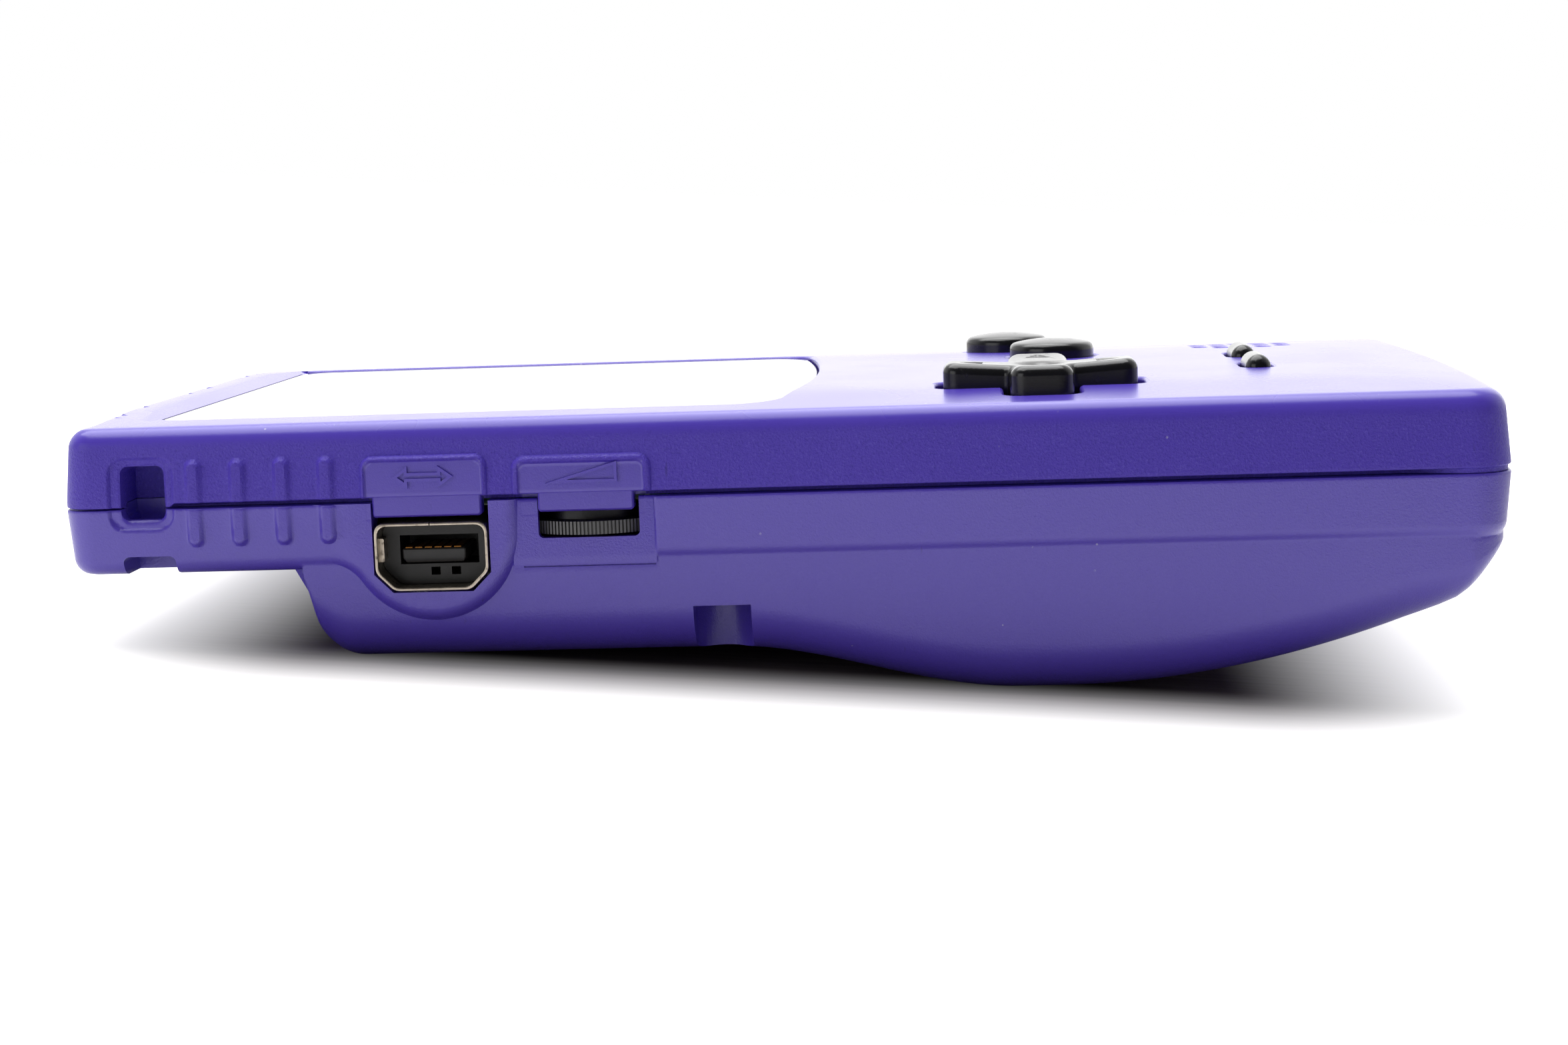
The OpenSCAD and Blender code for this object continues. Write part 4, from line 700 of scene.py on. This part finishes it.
for _ in range(30):
    mid = (lo + hi) / 2
    out_of = (py - ny * mid > half_at(px - nx * mid)) | (px - nx * mid > 65.2)
    lo, hi = np.where(out_of, mid, lo), np.where(out_of, hi, mid)
to_bulge = np.where((px > 57) & ~on_side, lo, 60.0)
halves = {}
for left in (True, False):
    sheet = []
    for k, z in enumerate(wall_z):
        inset = np.minimum(-z * LEAN + round_in(np.full(len(px), RIM + z), RIM_R), to_bulge)
        inset[on_side] = WALL_Y - rear_side(px[on_side], np.full(on_side.sum(), z), left)
        inset = inset + seam_back.get(k, 0)
        sheet.append(np.c_[px - nx * inset, py - ny * inset, np.full(len(px), z)])
    foot_x, foot_y = sheet[-1][:, 0], sheet[-1][:, 1]
    deep = depth_at(foot_x)
    for s in steps_low:
        d = RIM + (deep - RIM) * s
        back = (d - RIM) * LEAN + round_in(deep - d, bulge_edge(deep)) * (deep > RIM + 0.01)
        y = np.minimum(foot_y, half_at(foot_x)) * (1 - back / 38)
        y[on_side] = np.where(deep[on_side] > RIM + 0.01, rear_side(px[on_side], -d[on_side], left),
                              foot_y[on_side])
        sheet.append(np.c_[foot_x, y, -d])
    halves[left] = np.array(sheet) * (1, -1 if left else 1, 1)
rings = [np.concatenate([a, b[-2::-1]]) for a, b in zip(halves[True], halves[False])]
along = np.concatenate([np.arange(-64, -45.3, 0.8), np.arange(-45.2, -40.5, 0.16), np.arange(-40, 64.3, 0.8)])
reach = np.minimum(*(np.interp(along, h[-1, :, 0], abs(h[-1, :, 1])) for h in halves.values()))
inner = [(x, y) for x, edge in zip(along, reach) for y in (0.3 - edge, *np.arange(-36, 37, 2.4), edge - 0.3)
         if abs(y) < edge - 1.2 or abs(y) == edge - 0.3]
rear = capped("rear_shell", rings, lambda x, y: -depth_at(x, y), inner)


def rounded_over(ring, low, top, r, degrees):
    """Rings of a solid from a flat foot to a top surface, with a rounded edge between side and top."""
    rings = [level(ring, low)]
    for turn in np.radians(degrees):
        at = grown(ring, -r * (1 - math.cos(turn)))
        rings.append(np.c_[at, top(at[:, 0], at[:, 1]) - r * (1 - math.sin(turn))])
    return rings


def boss_face(x, z):
    """Outer face of the boss: upright round the port, in line with the rim beside it."""
    far = np.hypot(x - LINK_X, z - LINK_Z)
    return 38.68 + z * LEAN - 0.07 * z * smooth((10 - far) / 3)


foot, sweep = np.radians(np.linspace(90, 33.45, 9)), np.radians(np.linspace(213.45, 360, 60))
boss_line = np.concatenate([[(LINK_X + BOSS_R, 3), (-44, 3), (-44, -RIM)],
                            np.c_[LINK_X - 9.387 + 3 * np.cos(foot), -9.4 + 3 * np.sin(foot)],
                            np.c_[LINK_X + BOSS_R * np.cos(sweep), LINK_Z + BOSS_R * np.sin(sweep)]])
rings = rounded_over(boss_line, 33.0, boss_face, RIM_R, range(0, 85, 12))
inner = [(x, z) for x in np.arange(-42, -25.5, 1.0) for z in np.arange(-9.5, 1.5, 1.0)
         if (x < LINK_X and z > -4.9) or math.hypot(x - LINK_X, z - LINK_Z) < 6.5]
boss = capped("boss", rings, boss_face, inner)
lift = SEAM / 1000
boss.data.transform(Matrix(((1, 0, 0, 0), (0, 0, -1, lift), (0, 1, 0, lift), (0, 0, 0, 1))))
carve(boss, [bar((-50, -40, -0.25), (-20, -30, 6))])
carve(rear, [boss], "UNION")

SCREWS = [(x, s * y, z) for x, y, z in ((-58.55, 27.0, -5.0), (-6.0, 34.8, -9.0), (57.55, 31.0, -7.4))
          for s in (-1, 1)]
carve(rear, [prism(plan(2.4), [(0, -4.8), (0, 1)])])
carve(rear, [hoop(plan(2.55), plan(3.35), level, -4.9, 1.3, "lip"),
             bar((-62.0, -36.3, -5.0), (-55.7, -31.8, 0.2))], "UNION")
port = np.array([(-5.4 + 1.7, -8.55), (5.4 - 1.7, -8.55), (5.4, -6.85), (5.4, 2), (-5.4, 2), (-5.4, -6.85)]) \
    + (LINK_X, 0)
window = rounded(VOLUME_X - 4.65, VOLUME_X + 4.65, -3.91, 1.5, 0.5)
carve(rear, [
    side_prism(port, -40, -28.0), side_prism(window, -40, -33.0),
    bar((VOLUME_X - 7.4, -37.2, -4.2), (VOLUME_X + 7.4, -23.0, 1.5)),
    side_prism(window + (POWER_X - VOLUME_X, 0), 33.0, 40),
    bar((POWER_X - 7.2, 28.0, -4.2), (POWER_X + 7.2, 36.6, 1.5)),
    side_prism(strap, -40, -33.0), side_prism(rounded(-61.1, -56.2, -8, -4.64, 0.6), -40, -33.0),
    side_prism(rounded(-60.75, -56.97, -8, 3.71, 0.7), -37.0, -33.0),
    bar((-62.3, -37.3, 0.19), (-55.4, -31.5, 1.5)), bar((-68, -7.15, -2.55), (-63, 7.15, 1.5)),
    bar((-46.5, -29, -14.05), (4.85, 29, -RIM)),
    bar((10.7, -27.65, -25), (41.0, 27.65, -2.8)),
    bar((-24.0, -38.3, -6.58), (-11.85, -37.7, -6.48))])
carve(rear, [rod(s[:2], 2.65, -25, s[2]) for s in SCREWS])
carve(rear, [bar((-8.65, -40, -25), (-3.35, -34.8, -10.6)), bar((-8.65, 34.8, -25), (-3.35, 40, -10.6))])
phone_hole = disc((-20, -3.2), 2.65, 40)
carve(rear, [side_prism(disc(INLET, 3.15, 40), 30, 41),
             stack("phone", [np.c_[np.full(40, x), phone_hole] for x in (50.0, 69.0)])])
soften(rear)
purple_back = case_plastic("case_purple_back", 0.25)
dress(rear, purple_back, "case_purple", "case", "rear_shell")


# Screen lens: a flat window of clear acrylic, glued into its recess in the front face and
# printed dark on its back round the display.
lens = prism(lens_plan(0), [(0, 6.0), (0, 7.0), (-0.08, 7.16), (-0.25, 7.25)], "screen_lens")
soften(lens)
acrylic, shader, place = finish("lens_clear")
mm = place.stretch(1000, 1000, 1000)
off_x, off_y = abs(mm.axis(0) - SCREEN_X), abs(mm.axis(1))
opening = (off_x - SCREEN_L).most(off_y - SCREEN_W).below(0)
lamp_x, lamp_y = mm.axis(0) - LED[0], mm.axis(1) - LED[1]
lamp_hole = (lamp_x * lamp_x + lamp_y * lamp_y).below(1.0)
rule = abs(off_x.most(off_y - 2.0) - 23.4).below(0.22)
smear = place.noise(140, 3)
ink = rule.mix(tint("#211f27"), tint("#6f6b7d"))
plug_in(shader, Base_Color=smear.ease(0.3, 0.9).mix(ink, tint("#2a2832")),
        Roughness=0.03 + smear * 0.06, IOR=1.49)
clear = place.node("ShaderNodeBsdfPrincipled", None, {
    "Base Color": (1, 1, 1, 1), "Roughness": 0.02, "IOR": 1.49, "Transmission Weight": 1.0})
printed = Wire(acrylic.node_tree, shader.outputs[0])
both = place.node("ShaderNodeMixShader", None, {0: opening.most(lamp_hole), 1: printed, 2: clear})
acrylic.node_tree.links.new(both.socket, acrylic.node_tree.nodes["Material Output"].inputs["Surface"])
dress(lens, acrylic, "lens_clear", "case", "screen_lens")


# Direction pad: one black ABS cross with softly rounded edges and a shallow dish on top, an arrow
# sunk in each arm, and a wide flange below that keeps it under the front face.
def dpad_top(x, y):
    """Height of the pad's top: a dish with a round dimple in its middle."""
    far = np.hypot(x - DPAD[0], y - DPAD[1])
    return 9.6 + 0.5 * np.minimum(far / 9.4, 1.02) ** 2 - 0.45 * smooth(1.6 - far / 1.7)


arms = moved(DPAD, cross(18.4, 5.9, 1.5, 0.6))
rings = rounded_over(arms, 3.5, dpad_top, 1.05, (0, 15, 30, 45, 60, 75, 88))
span = np.arange(-7.6, 7.7, 0.4)
inner = [(DPAD[0] + u, DPAD[1] + v) for u in span for v in span
         if min(abs(u), abs(v)) < 1.6]
dpad = capped("dpad", rings, dpad_top, inner)
arrows = []
for a in (0, 90, 180, 270):
    c, s = round(math.cos(math.radians(a))), round(math.sin(math.radians(a)))
    mark = [(DPAD[0] + c * u - s * v, DPAD[1] + s * u + c * v)
            for u, v in ((7.5, 0), (5.2, 1.55), (5.2, -1.55))]
    arrows.append(prism(np.array(mark), [(-0.5, 9.5), (0.25, 10.1)], "arrow"))
carve(dpad, arrows)
carve(dpad, [rod(DPAD, 11, 3.0, 4.0, 64), rod(DPAD, 1.55, 0.9, 3.2, 24)], "UNION")
soften(dpad, 40)

satin, shader, place = finish("key_black")
cloud = place.noise(220, 3)
fine = place.noise(6500, 2)
rub = place.noise(900, 3).ease(0.6, 0.75)
tone = cloud.mix(tint("#0f0f11"), tint("#18181a"))
tone = (rub * 0.25).mix(tone, tint("#3a3a3d"))
plug_in(shader, Base_Color=tone, Roughness=0.15 + cloud * 0.12 + rub * 0.08, IOR=1.5,
        Normal=fine.bump(0.12, 0.00004))
dress(dpad, satin, "key_black", "dpad", "dpad")


# Round keys: two black ABS buttons with a gentle dome, moulded in one piece with the flange that
# holds each of them under the front face, on its rubber dome.
def lathe(name, at, profile, count=72):
    """A round solid from its radii and heights."""
    return stack(name, [level(disc(at, r, count), z) for r, z in profile])


lip = [(5.6, 3.55), (5.6, 4.75), (4.5, 4.75), (4.5, 8.5)]
bend = [(3.8 + 0.7 * math.cos(a), 8.62 + 0.75 * math.sin(a)) for a in np.radians((0, 15, 30, 45, 60, 72))]
dome = [(r, 9.8 - r * r / 36) for r in (3.7, 3.2, 2.6, 1.9, 1.2, 0.6, 0.15)]
for name, at in (("a_button", KEY_A), ("b_button", KEY_B)):
    key = lathe(name, at, lip + bend + dome)
    soften(key, 40)
    dress(key, satin, "key_black", name, name)


# Select and start: two pill keys of dark plastic, well rounded over their tops. Each has a flange
# under the front face and rests on the rubber sheet.
shape = [(0.8, 3.75), (0.8, 4.75), (0, 4.75), (-0.02, 7.75), (-0.1, 8.15), (-0.26, 8.46), (-0.48, 8.7),
         (-0.75, 8.88), (-1.0, 8.97), (-1.22, 9.0)]
for name, at in zip(("select_button", "start_button"), PILLS):
    key = prism(moved(at, rounded(*PILL, 12)), shape, name)
    soften(key, 40)
    dress(key, satin, "key_black", name, name)


# Volume wheel: a thin black moulded disc with a fine knurl all round its edge and a smaller step
# above it, pressed on the pin of the volume control.
WHEEL = (VOLUME_X, -31.4)
wheel_body = lathe("volume_wheel", WHEEL, [(6.85, -3.7), (7.0, -3.62), (7.0, -2.43), (6.85, -2.35),
                                           (5.8, -2.35), (5.7, -1.62), (5.6, -1.55)], 96)
carve(wheel_body, [rod(WHEEL, 1.05, -5, 0, 32)])
knurled, shader, place = finish("wheel_black")
mm = place.stretch(1000, 1000, 1000)
out_x, out_y = mm.axis(0) - WHEEL[0], mm.axis(1) - WHEEL[1]
# Painted highlight: the tips of the knurl's teeth are painted light grey where they catch the light.
tip_highlight = (out_x * out_x + out_y * out_y).root().ease(7.03, 7.12)
plug_in(shader, Base_Color=(tip_highlight * 0.8).mix(tint("#0e0e10"), tint("#6c6c6e")),
        Roughness=0.3 + mm.noise(1.4, 2) * 0.2, Normal=mm.noise(7, 2).bump(0.1, 0.00004))


def new_tree(name, **kinds):
    """A geometry tree with a mesh in and out, and further inputs by name, with _ for a space, and kind."""
    tree = bpy.data.node_groups.new(name, "GeometryNodeTree")
    for label, kind in {"Geometry": "Geometry", **kinds}.items():
        tree.interface.new_socket(label.replace("_", " "), in_out="INPUT", socket_type="NodeSocket" + kind)
    tree.interface.new_socket("Geometry", in_out="OUTPUT", socket_type="NodeSocketGeometry")
    return tree


def add(tree, kind, settings=None, **links):
    """A node of a geometry tree, with its inputs set or linked by name, with _ for a space."""
    made = tree.nodes.new(kind)
    for key, value in (settings or {}).items():
        setattr(made, key, value)
    for key, value in links.items():
        socket = made.inputs[key.replace("_", " ")]
        if isinstance(value, bpy.types.NodeSocket):
            tree.links.new(value, socket)
        else:
            socket.default_value = value
    return made


def close_tree(tree, shape, surface):
    """Makes the tree's copies real, gives them their material and sends them out."""
    whole = add(tree, "GeometryNodeRealizeInstances", Geometry=shape.outputs[0])
    painted = add(tree, "GeometryNodeSetMaterial", Geometry=whole.outputs[0], Material=surface)
    tree.links.new(painted.outputs[0], tree.nodes.new("NodeGroupOutput").inputs[0])


def grow_tree(target, tree, **values):
    """Runs a geometry tree on a piece and keeps the result as a plain mesh."""
    step = target.modifiers.new(tree.name, "NODES")
    step.node_group = tree
    for socket in tree.interface.items_tree:
        key = socket.name.replace(" ", "_")
        if key in values:
            step[socket.identifier] = values[key]
    settle(target)


tree = new_tree("knurl", Teeth="Int", Radius="Float", Tooth_Width="Float", Tooth_Height="Float")
given = add(tree, "NodeGroupInput")
circle = add(tree, "GeometryNodeMeshCircle", Vertices=given.outputs["Teeth"], Radius=given.outputs["Radius"])
outward = add(tree, "GeometryNodeInputPosition")
turn = add(tree, "FunctionNodeAlignRotationToVector", {"axis": "X"}, Vector=outward.outputs[0])
size = add(tree, "ShaderNodeCombineXYZ", X=given.outputs["Tooth Width"], Y=given.outputs["Tooth Width"],
           Z=given.outputs["Tooth Height"])
tooth = add(tree, "GeometryNodeMeshCube", Size=size.outputs[0])
teeth = add(tree, "GeometryNodeInstanceOnPoints", Points=circle.outputs[0], Instance=tooth.outputs[0],
            Rotation=turn.outputs[0])
placed = add(tree, "GeometryNodeTransform", Geometry=teeth.outputs[0],
             Translation=(WHEEL[0] / 1000, WHEEL[1] / 1000, (SEAM - 3.025) / 1000))
joined = tree.nodes.new("GeometryNodeJoinGeometry")
tree.links.new(placed.outputs[0], joined.inputs[0])
tree.links.new(given.outputs["Geometry"], joined.inputs[0])
close_tree(tree, joined, knurled)
grow_tree(wheel_body, tree, Teeth=126, Radius=0.00704, Tooth_Width=0.0002, Tooth_Height=0.0012)
soften(wheel_body, 35)
dress(wheel_body, knurled, "key_black", "volume_wheel", "volume_wheel")


# Link port: a shell bent from thin plated steel round a black moulded insert, whose tongue carries
# gilded contact strips. It is soldered to the board and looks out through the boss of the rear shell.
def fillet(points, radii, count=5):
    """A polygon with its corners rounded."""
    ring, n = [], len(points)
    for i, r in enumerate(radii):
        corner, back, on = (np.array(points[k % n], float) for k in (i, i - 1, i + 1))
        a, b = (back - corner) / np.linalg.norm(back - corner), (on - corner) / np.linalg.norm(on - corner)
        for t in np.linspace(0, 1, count + 1):
            ring.append(corner + r * (a * (1 - t) ** 2 + b * t ** 2))
    return np.array(ring)


def port_ring(by):
    """Outline of the port, with its two cut lower corners."""
    x, low, high, c = 5.25 + by, -8.4 - by, -2.1 + by, 1.7 + by * 0.4
    ring = fillet([(-x + c, low), (x - c, low), (x, low + c), (x, high), (-x, high), (-x, low + c)],
                  [0.5, 0.5, 0.5, 1.0, 1.0, 0.5])
    return ring + (LINK_X, 0)


wall_steps = ((0, -30.6), (0, -38.66), (-0.05, -38.76), (-0.16, -38.8), (-0.27, -38.76), (-0.32, -38.66),
              (-0.32, -30.6))
port_shell = tube("link_port_shell", [upright(port_ring(by), y) for by, y in wall_steps])
carve(port_shell, [bar((LINK_X - 0.12, -39, -2.6), (LINK_X - 0.02, -33, -1.9))])
carve(port_shell, [side_prism(rounded(LINK_X - 5.1, LINK_X - 4.5, -5.75, -3.6, 0.15), -37.9, -34.5)], "UNION")
soften(port_shell, 40)
plated, shader, place = finish("port_metal")
cloud = place.noise(700, 4, 0.6)
tarnish = place.noise(1500, 3).ease(0.52, 0.72)
tone = cloud.mix(tint("#8d8478"), tint("#c6bbad"))
tone = (tarnish * 0.6).mix(tone, tint("#4a4037"))
plug_in(shader, Base_Color=tone, Metallic=1.0, Roughness=0.24 + cloud * 0.16 + tarnish * 0.2,
        Normal=place.noise(2600, 2).bump(0.12, 0.00004))
dress(port_shell, plated, "port_metal", "case", "link_port_shell")

insert = stack("link_port_insert", [upright(port_ring(-0.36), y) for y in (-36.4, -30.65)])
carve(insert, [bar((LINK_X - 3.3, -37, -6.2), (LINK_X + 4.0, -31.6, -3.5)),
               bar((LINK_X - 0.5, -37, -7.25), (LINK_X + 0.35, -33, -6.5)),
               bar((LINK_X + 1.4, -37, -7.25), (LINK_X + 2.25, -33, -6.5))])
tongue = prism(rounded(LINK_X - 2.9, LINK_X + 3.0, -37.6, -31.2, 0.25, 3),
               [(-0.35, -5.95), (0, -5.5), (0, -4.72), (-0.12, -4.6)])
carve(insert, [tongue], "UNION")
soften(insert, 40)


def plain(name, low, high, rough, scale=600, metal=0.0, bumps=0.1, grain_scale=4500, vary=0.15, depth=0.00004):
    """A finish whose tone and gloss wander between two colours."""
    made, shader, place = finish(name)
    cloud = place.noise(scale, 3)
    plug_in(shader, Base_Color=cloud.mix(tint(low), tint(high)), Metallic=metal, Roughness=rough + cloud * vary,
            Normal=place.noise(grain_scale, 2).bump(bumps, depth))
    return made


bakelite = plain("port_plastic", "#0b0a0b", "#171618", 0.38, 420, bumps=0.15, grain_scale=5200, vary=0.2)
dress(insert, bakelite, "port_plastic", "case", "link_port_insert")

strips = [bar((LINK_X + x - 0.32, -37.35, -4.62), (LINK_X + x + 0.32, -32.2, -4.5), "strip")
          for x in (-2.3, -1.4, -0.5, 0.4, 1.3, 2.2)]
contacts = strips[0]
carve(contacts, strips[1:], "UNION")
contacts.name = "link_port_contacts"
copper, shader, place = finish("contact_copper")
cloud = place.noise(900, 3)
plug_in(shader, Base_Color=cloud.mix(tint("#6a431f"), tint("#946530")), Metallic=1.0,
        Roughness=0.3 + cloud * 0.16, Normal=place.stretch(1, 9, 1).noise(1800, 2).bump(0.08, 0.00003))
dress(contacts, copper, "contact_copper", "case", "link_port_contacts")


# Power knob: a black moulded slider with grip ribs across it. It moves in its window on the right
# side and carries the lever of the switch behind it.
knob = side_prism(rounded(-34.25, -29.25, -3.7, -1.62, 0.35), 35.8, 38.3, "power_knob")
carve(knob, [bar((-35.45, 35.8, -4.1), (-28.05, 36.55, -1.6)),
             bar((-32.75, 32.5, -3.36), (-30.75, 36.0, -1.96))]
      + [bar((-33.55 + 0.9 * i, 38.0, -3.5), (-33.15 + 0.9 * i, 38.6, -1.82)) for i in range(5)], "UNION")
soften(knob, 30)
dress(knob, satin, "key_black", "power_knob", "power_knob")


# Battery door: a curved panel of the case plastic that closes the battery bay. Two tabs hook it in
# at its lower end, and a springy latch between two slits holds its upper end.
def line_in(low, high, step):
    """Stations from edge to edge, close together at both edges."""
    edge = np.array([0, 0.06, 0.15, 0.28, 0.45])
    return np.concatenate([low + edge, np.arange(low + 0.45 + step, high - 0.5, step), high - edge[::-1]])


def back_z(x):
    """Height of the back at one place along the case."""
    return -float(back_at(np.array([x]))[0])


DOOR_TOP, DOOR_END, DOOR_Y = 10.9, 40.8, 27.45
dx, dy = line_in(DOOR_TOP, DOOR_END, 1.2), line_in(-DOOR_Y, DOOR_Y, 2.4)
gx, gy = np.meshgrid(dx, dy, indexing="ij")
edge = np.minimum(np.minimum(gx - DOOR_TOP, DOOR_END - gx), np.minimum(gy + DOOR_Y, DOOR_Y - gy))
outer = np.stack([gx, gy, round_in(edge, 0.45) - back_at(gx)], -1)
inside = np.stack([gx, gy, 1.6 - back_at(gx)], -1)
corners = np.arange(gx.size).reshape(gx.shape)
quads = np.stack([corners[:-1, :-1], corners[1:, :-1], corners[1:, 1:], corners[:-1, 1:]], -1).reshape(-1, 4)
border = np.concatenate([corners[:, 0], corners[-1, 1:], corners[-2::-1, -1], corners[0, -2:0:-1]])
onward = np.roll(border, -1)
walls = np.stack([border, onward, onward + gx.size, border + gx.size], -1)
faces = np.concatenate([quads, quads + gx.size, walls]).tolist()
door = piece("battery_door", np.concatenate([outer.reshape(-1, 3), inside.reshape(-1, 3)]), faces)
carve(door, [bar((10, s * 6 - 0.3, -25), (18.9, s * 6 + 0.3, -10)) for s in (-1, 1)])
end_z = back_z(DOOR_END)
hooks = []
for s in (-1, 1):
    hooks += [bar((39.8, s * 17 - 3, end_z + 0.8), (40.75, s * 17 + 3, end_z + 3.2)),
              bar((39.8, s * 17 - 3, end_z + 2.4), (42.8, s * 17 + 3, end_z + 3.2))]
carve(door, hooks, "UNION")
carve(door, [bar((12.2 + on, -4.4, -22), (12.75 + on, 4.4, 0.35 + back_z(12.5 + on)))
             for on in (1.4 * i for i in range(4))])
soften(door)
dress(door, purple_back, "case_purple", "battery_door", "battery_door")


# Case screws: six pan-head screws of bright steel with a plain cross recess, one at each post,
# turned in from the back.
screw = lathe("case_screws", (0, 0), [(0.85, 9.0), (0.85, 0), (2.1, 0), (2.1, -0.75), (1.98, -1.02),
                                      (1.7, -1.24), (1.2, -1.36), (0.4, -1.4)], 32)
carve(screw, [bar((-1.3, -0.3, -3), (1.3, 0.3, -0.7)), bar((-0.3, -1.3, -3), (0.3, 1.3, -0.7))])
soften(screw, 40)
bright = plain("steel", "#8f9094", "#c6c7ca", 0.26, 800, 1.0, 0.08, 4000, 0.18, 0.00003)
tree = new_tree("screw_set", Screw="Object")
given = add(tree, "NodeGroupInput")
one = add(tree, "GeometryNodeObjectInfo", {"transform_space": "ORIGINAL"}, Object=given.outputs["Screw"])
spin = add(tree, "FunctionNodeRandomValue", {"data_type": "FLOAT_VECTOR"}, Seed=7)
spin.inputs[0].default_value, spin.inputs[1].default_value = (0, 0, 0), (0, 0, 1.5)
copies = add(tree, "GeometryNodeInstanceOnPoints", Points=given.outputs["Geometry"],
             Instance=one.outputs["Geometry"], Rotation=spin.outputs[0])
close_tree(tree, copies, bright)
screw.data.transform(Matrix.Translation((0, 0, -SEAM / 1000)))
screw.name = "one_screw"
spots = bpy.data.meshes.new("case_screws")
spots.from_pydata([(x / 1000, y / 1000, (z + SEAM) / 1000) for x, y, z in SCREWS], [], [])
screws = bpy.data.objects.new("case_screws", spots)
scene.collection.objects.link(screws)
grow_tree(screws, tree, Screw=screw)
bpy.data.objects.remove(screw)
dress(screws, bright, "steel", "case", "case_screws")


# Inner parts: what the two shells hold between them, from the board to the cells. Their solids
# already have the right shape, so each keeps it and gets the finish of its own material.
rubber = plain("keypad_rubber", "#5a5a5f", "#74747a", 0.6)
infrared = plain("infrared_filter", "#14060a", "#2b0d14", 0.06, 90, bumps=0.02)
package = plain("chip_black", "#161618", "#26262a", 0.5)
can = plain("capacitor_can", "#8b8d92", "#b9bbc0", 0.25, 900, 0.9)
foam = plain("foam_black", "#1a1a1c", "#2c2c30", 0.85, 1500, bumps=0.6, grain_scale=2200)
ribbon = plain("ribbon_amber", "#8a5218", "#b8742a", 0.3, 300, bumps=0.05)
ivory = plain("connector_ivory", "#cfcabb", "#e4dfd2", 0.4)
paper = plain("cone_paper", "#3a3733", "#544f49", 0.8, 700, bumps=0.4)
lead = plain("lead_red", "#8f2318", "#b8392a", 0.4)
lamp_red = plain("led_red", "#7d0f12", "#b51b1f", 0.1, 300, bumps=0.02)

laminate, shader, place = finish("board_green")
mm = place.stretch(1000, 1000, 1000)
runs = mm.node("ShaderNodeTexBrick", {"offset": 0.35}, {"Vector": mm, "Scale": 0.42, "Mortar Size": 0.05,
                                                        "Color1": tint("#1d5a3c"), "Color2": tint("#226648"),
                                                        "Mortar": tint("#2f7d58")})
plug_in(shader, Base_Color=runs, Roughness=0.3 + mm.noise(0.9, 2) * 0.2, Coat_Weight=0.4,
        Normal=mm.noise(2.2, 2).bump(0.1, 0.00005))

display, shader, place = finish("display_glass")
mm = place.stretch(1000, 1000, 1000)
cells = mm.node("ShaderNodeTexBrick", {"offset": 0.0}, {"Vector": mm, "Scale": 1.0, "Mortar Size": 0.012,
                                                        "Brick Width": 0.275, "Row Height": 0.275,
                                                        "Color1": tint("#8e968d"), "Color2": tint("#959d93"),
                                                        "Mortar": tint("#79817a")})
plug_in(shader, Base_Color=cells, Roughness=0.16 + mm.noise(0.3, 2) * 0.08, IOR=1.5)

sleeve, shader, place = finish("cell_sleeve")
mm = place.stretch(1000, 1000, 1000)
band = (abs(mm.axis(1) - 4)).ease(13.2, 13.6)
plug_in(shader, Base_Color=band.mix(tint("#2c2f33"), tint("#a9885a")), Roughness=0.22 + mm.noise(0.5, 2) * 0.15,
        Metallic=band * 0.6)

FINISHES = {
    rubber: ("dpad_domes", "dpad_membrane", "ab_membrane", "start_select_membrane"),
    infrared: ("ir_window", "ir_parts"), package: ("board_chips", "speaker_frame"), can: ("board_capacitors",),
    foam: ("lcd_gasket", "lcd_pad"), ribbon: ("lcd_ribbon",), ivory: ("ribbon_socket", "cartridge_connector"),
    paper: ("speaker_cone",), lead: ("speaker_leads",), lamp_red: ("power_led",), laminate: ("main_board",),
    display: ("lcd_panel",), sleeve: ("battery_upper", "battery_lower"), plated: ("power_switch",),
    bakelite: ("headphone_jack", "dc_jack", "volume_pot"), copper: ("cartridge_contacts",),
    bright: ("dc_pin", "battery_contacts", "board_screws", "crystal", "speaker_magnet")}
for surface, names in FINISHES.items():
    for name in names:
        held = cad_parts[name]
        held.data.materials.clear()
        held.data.materials.append(surface)
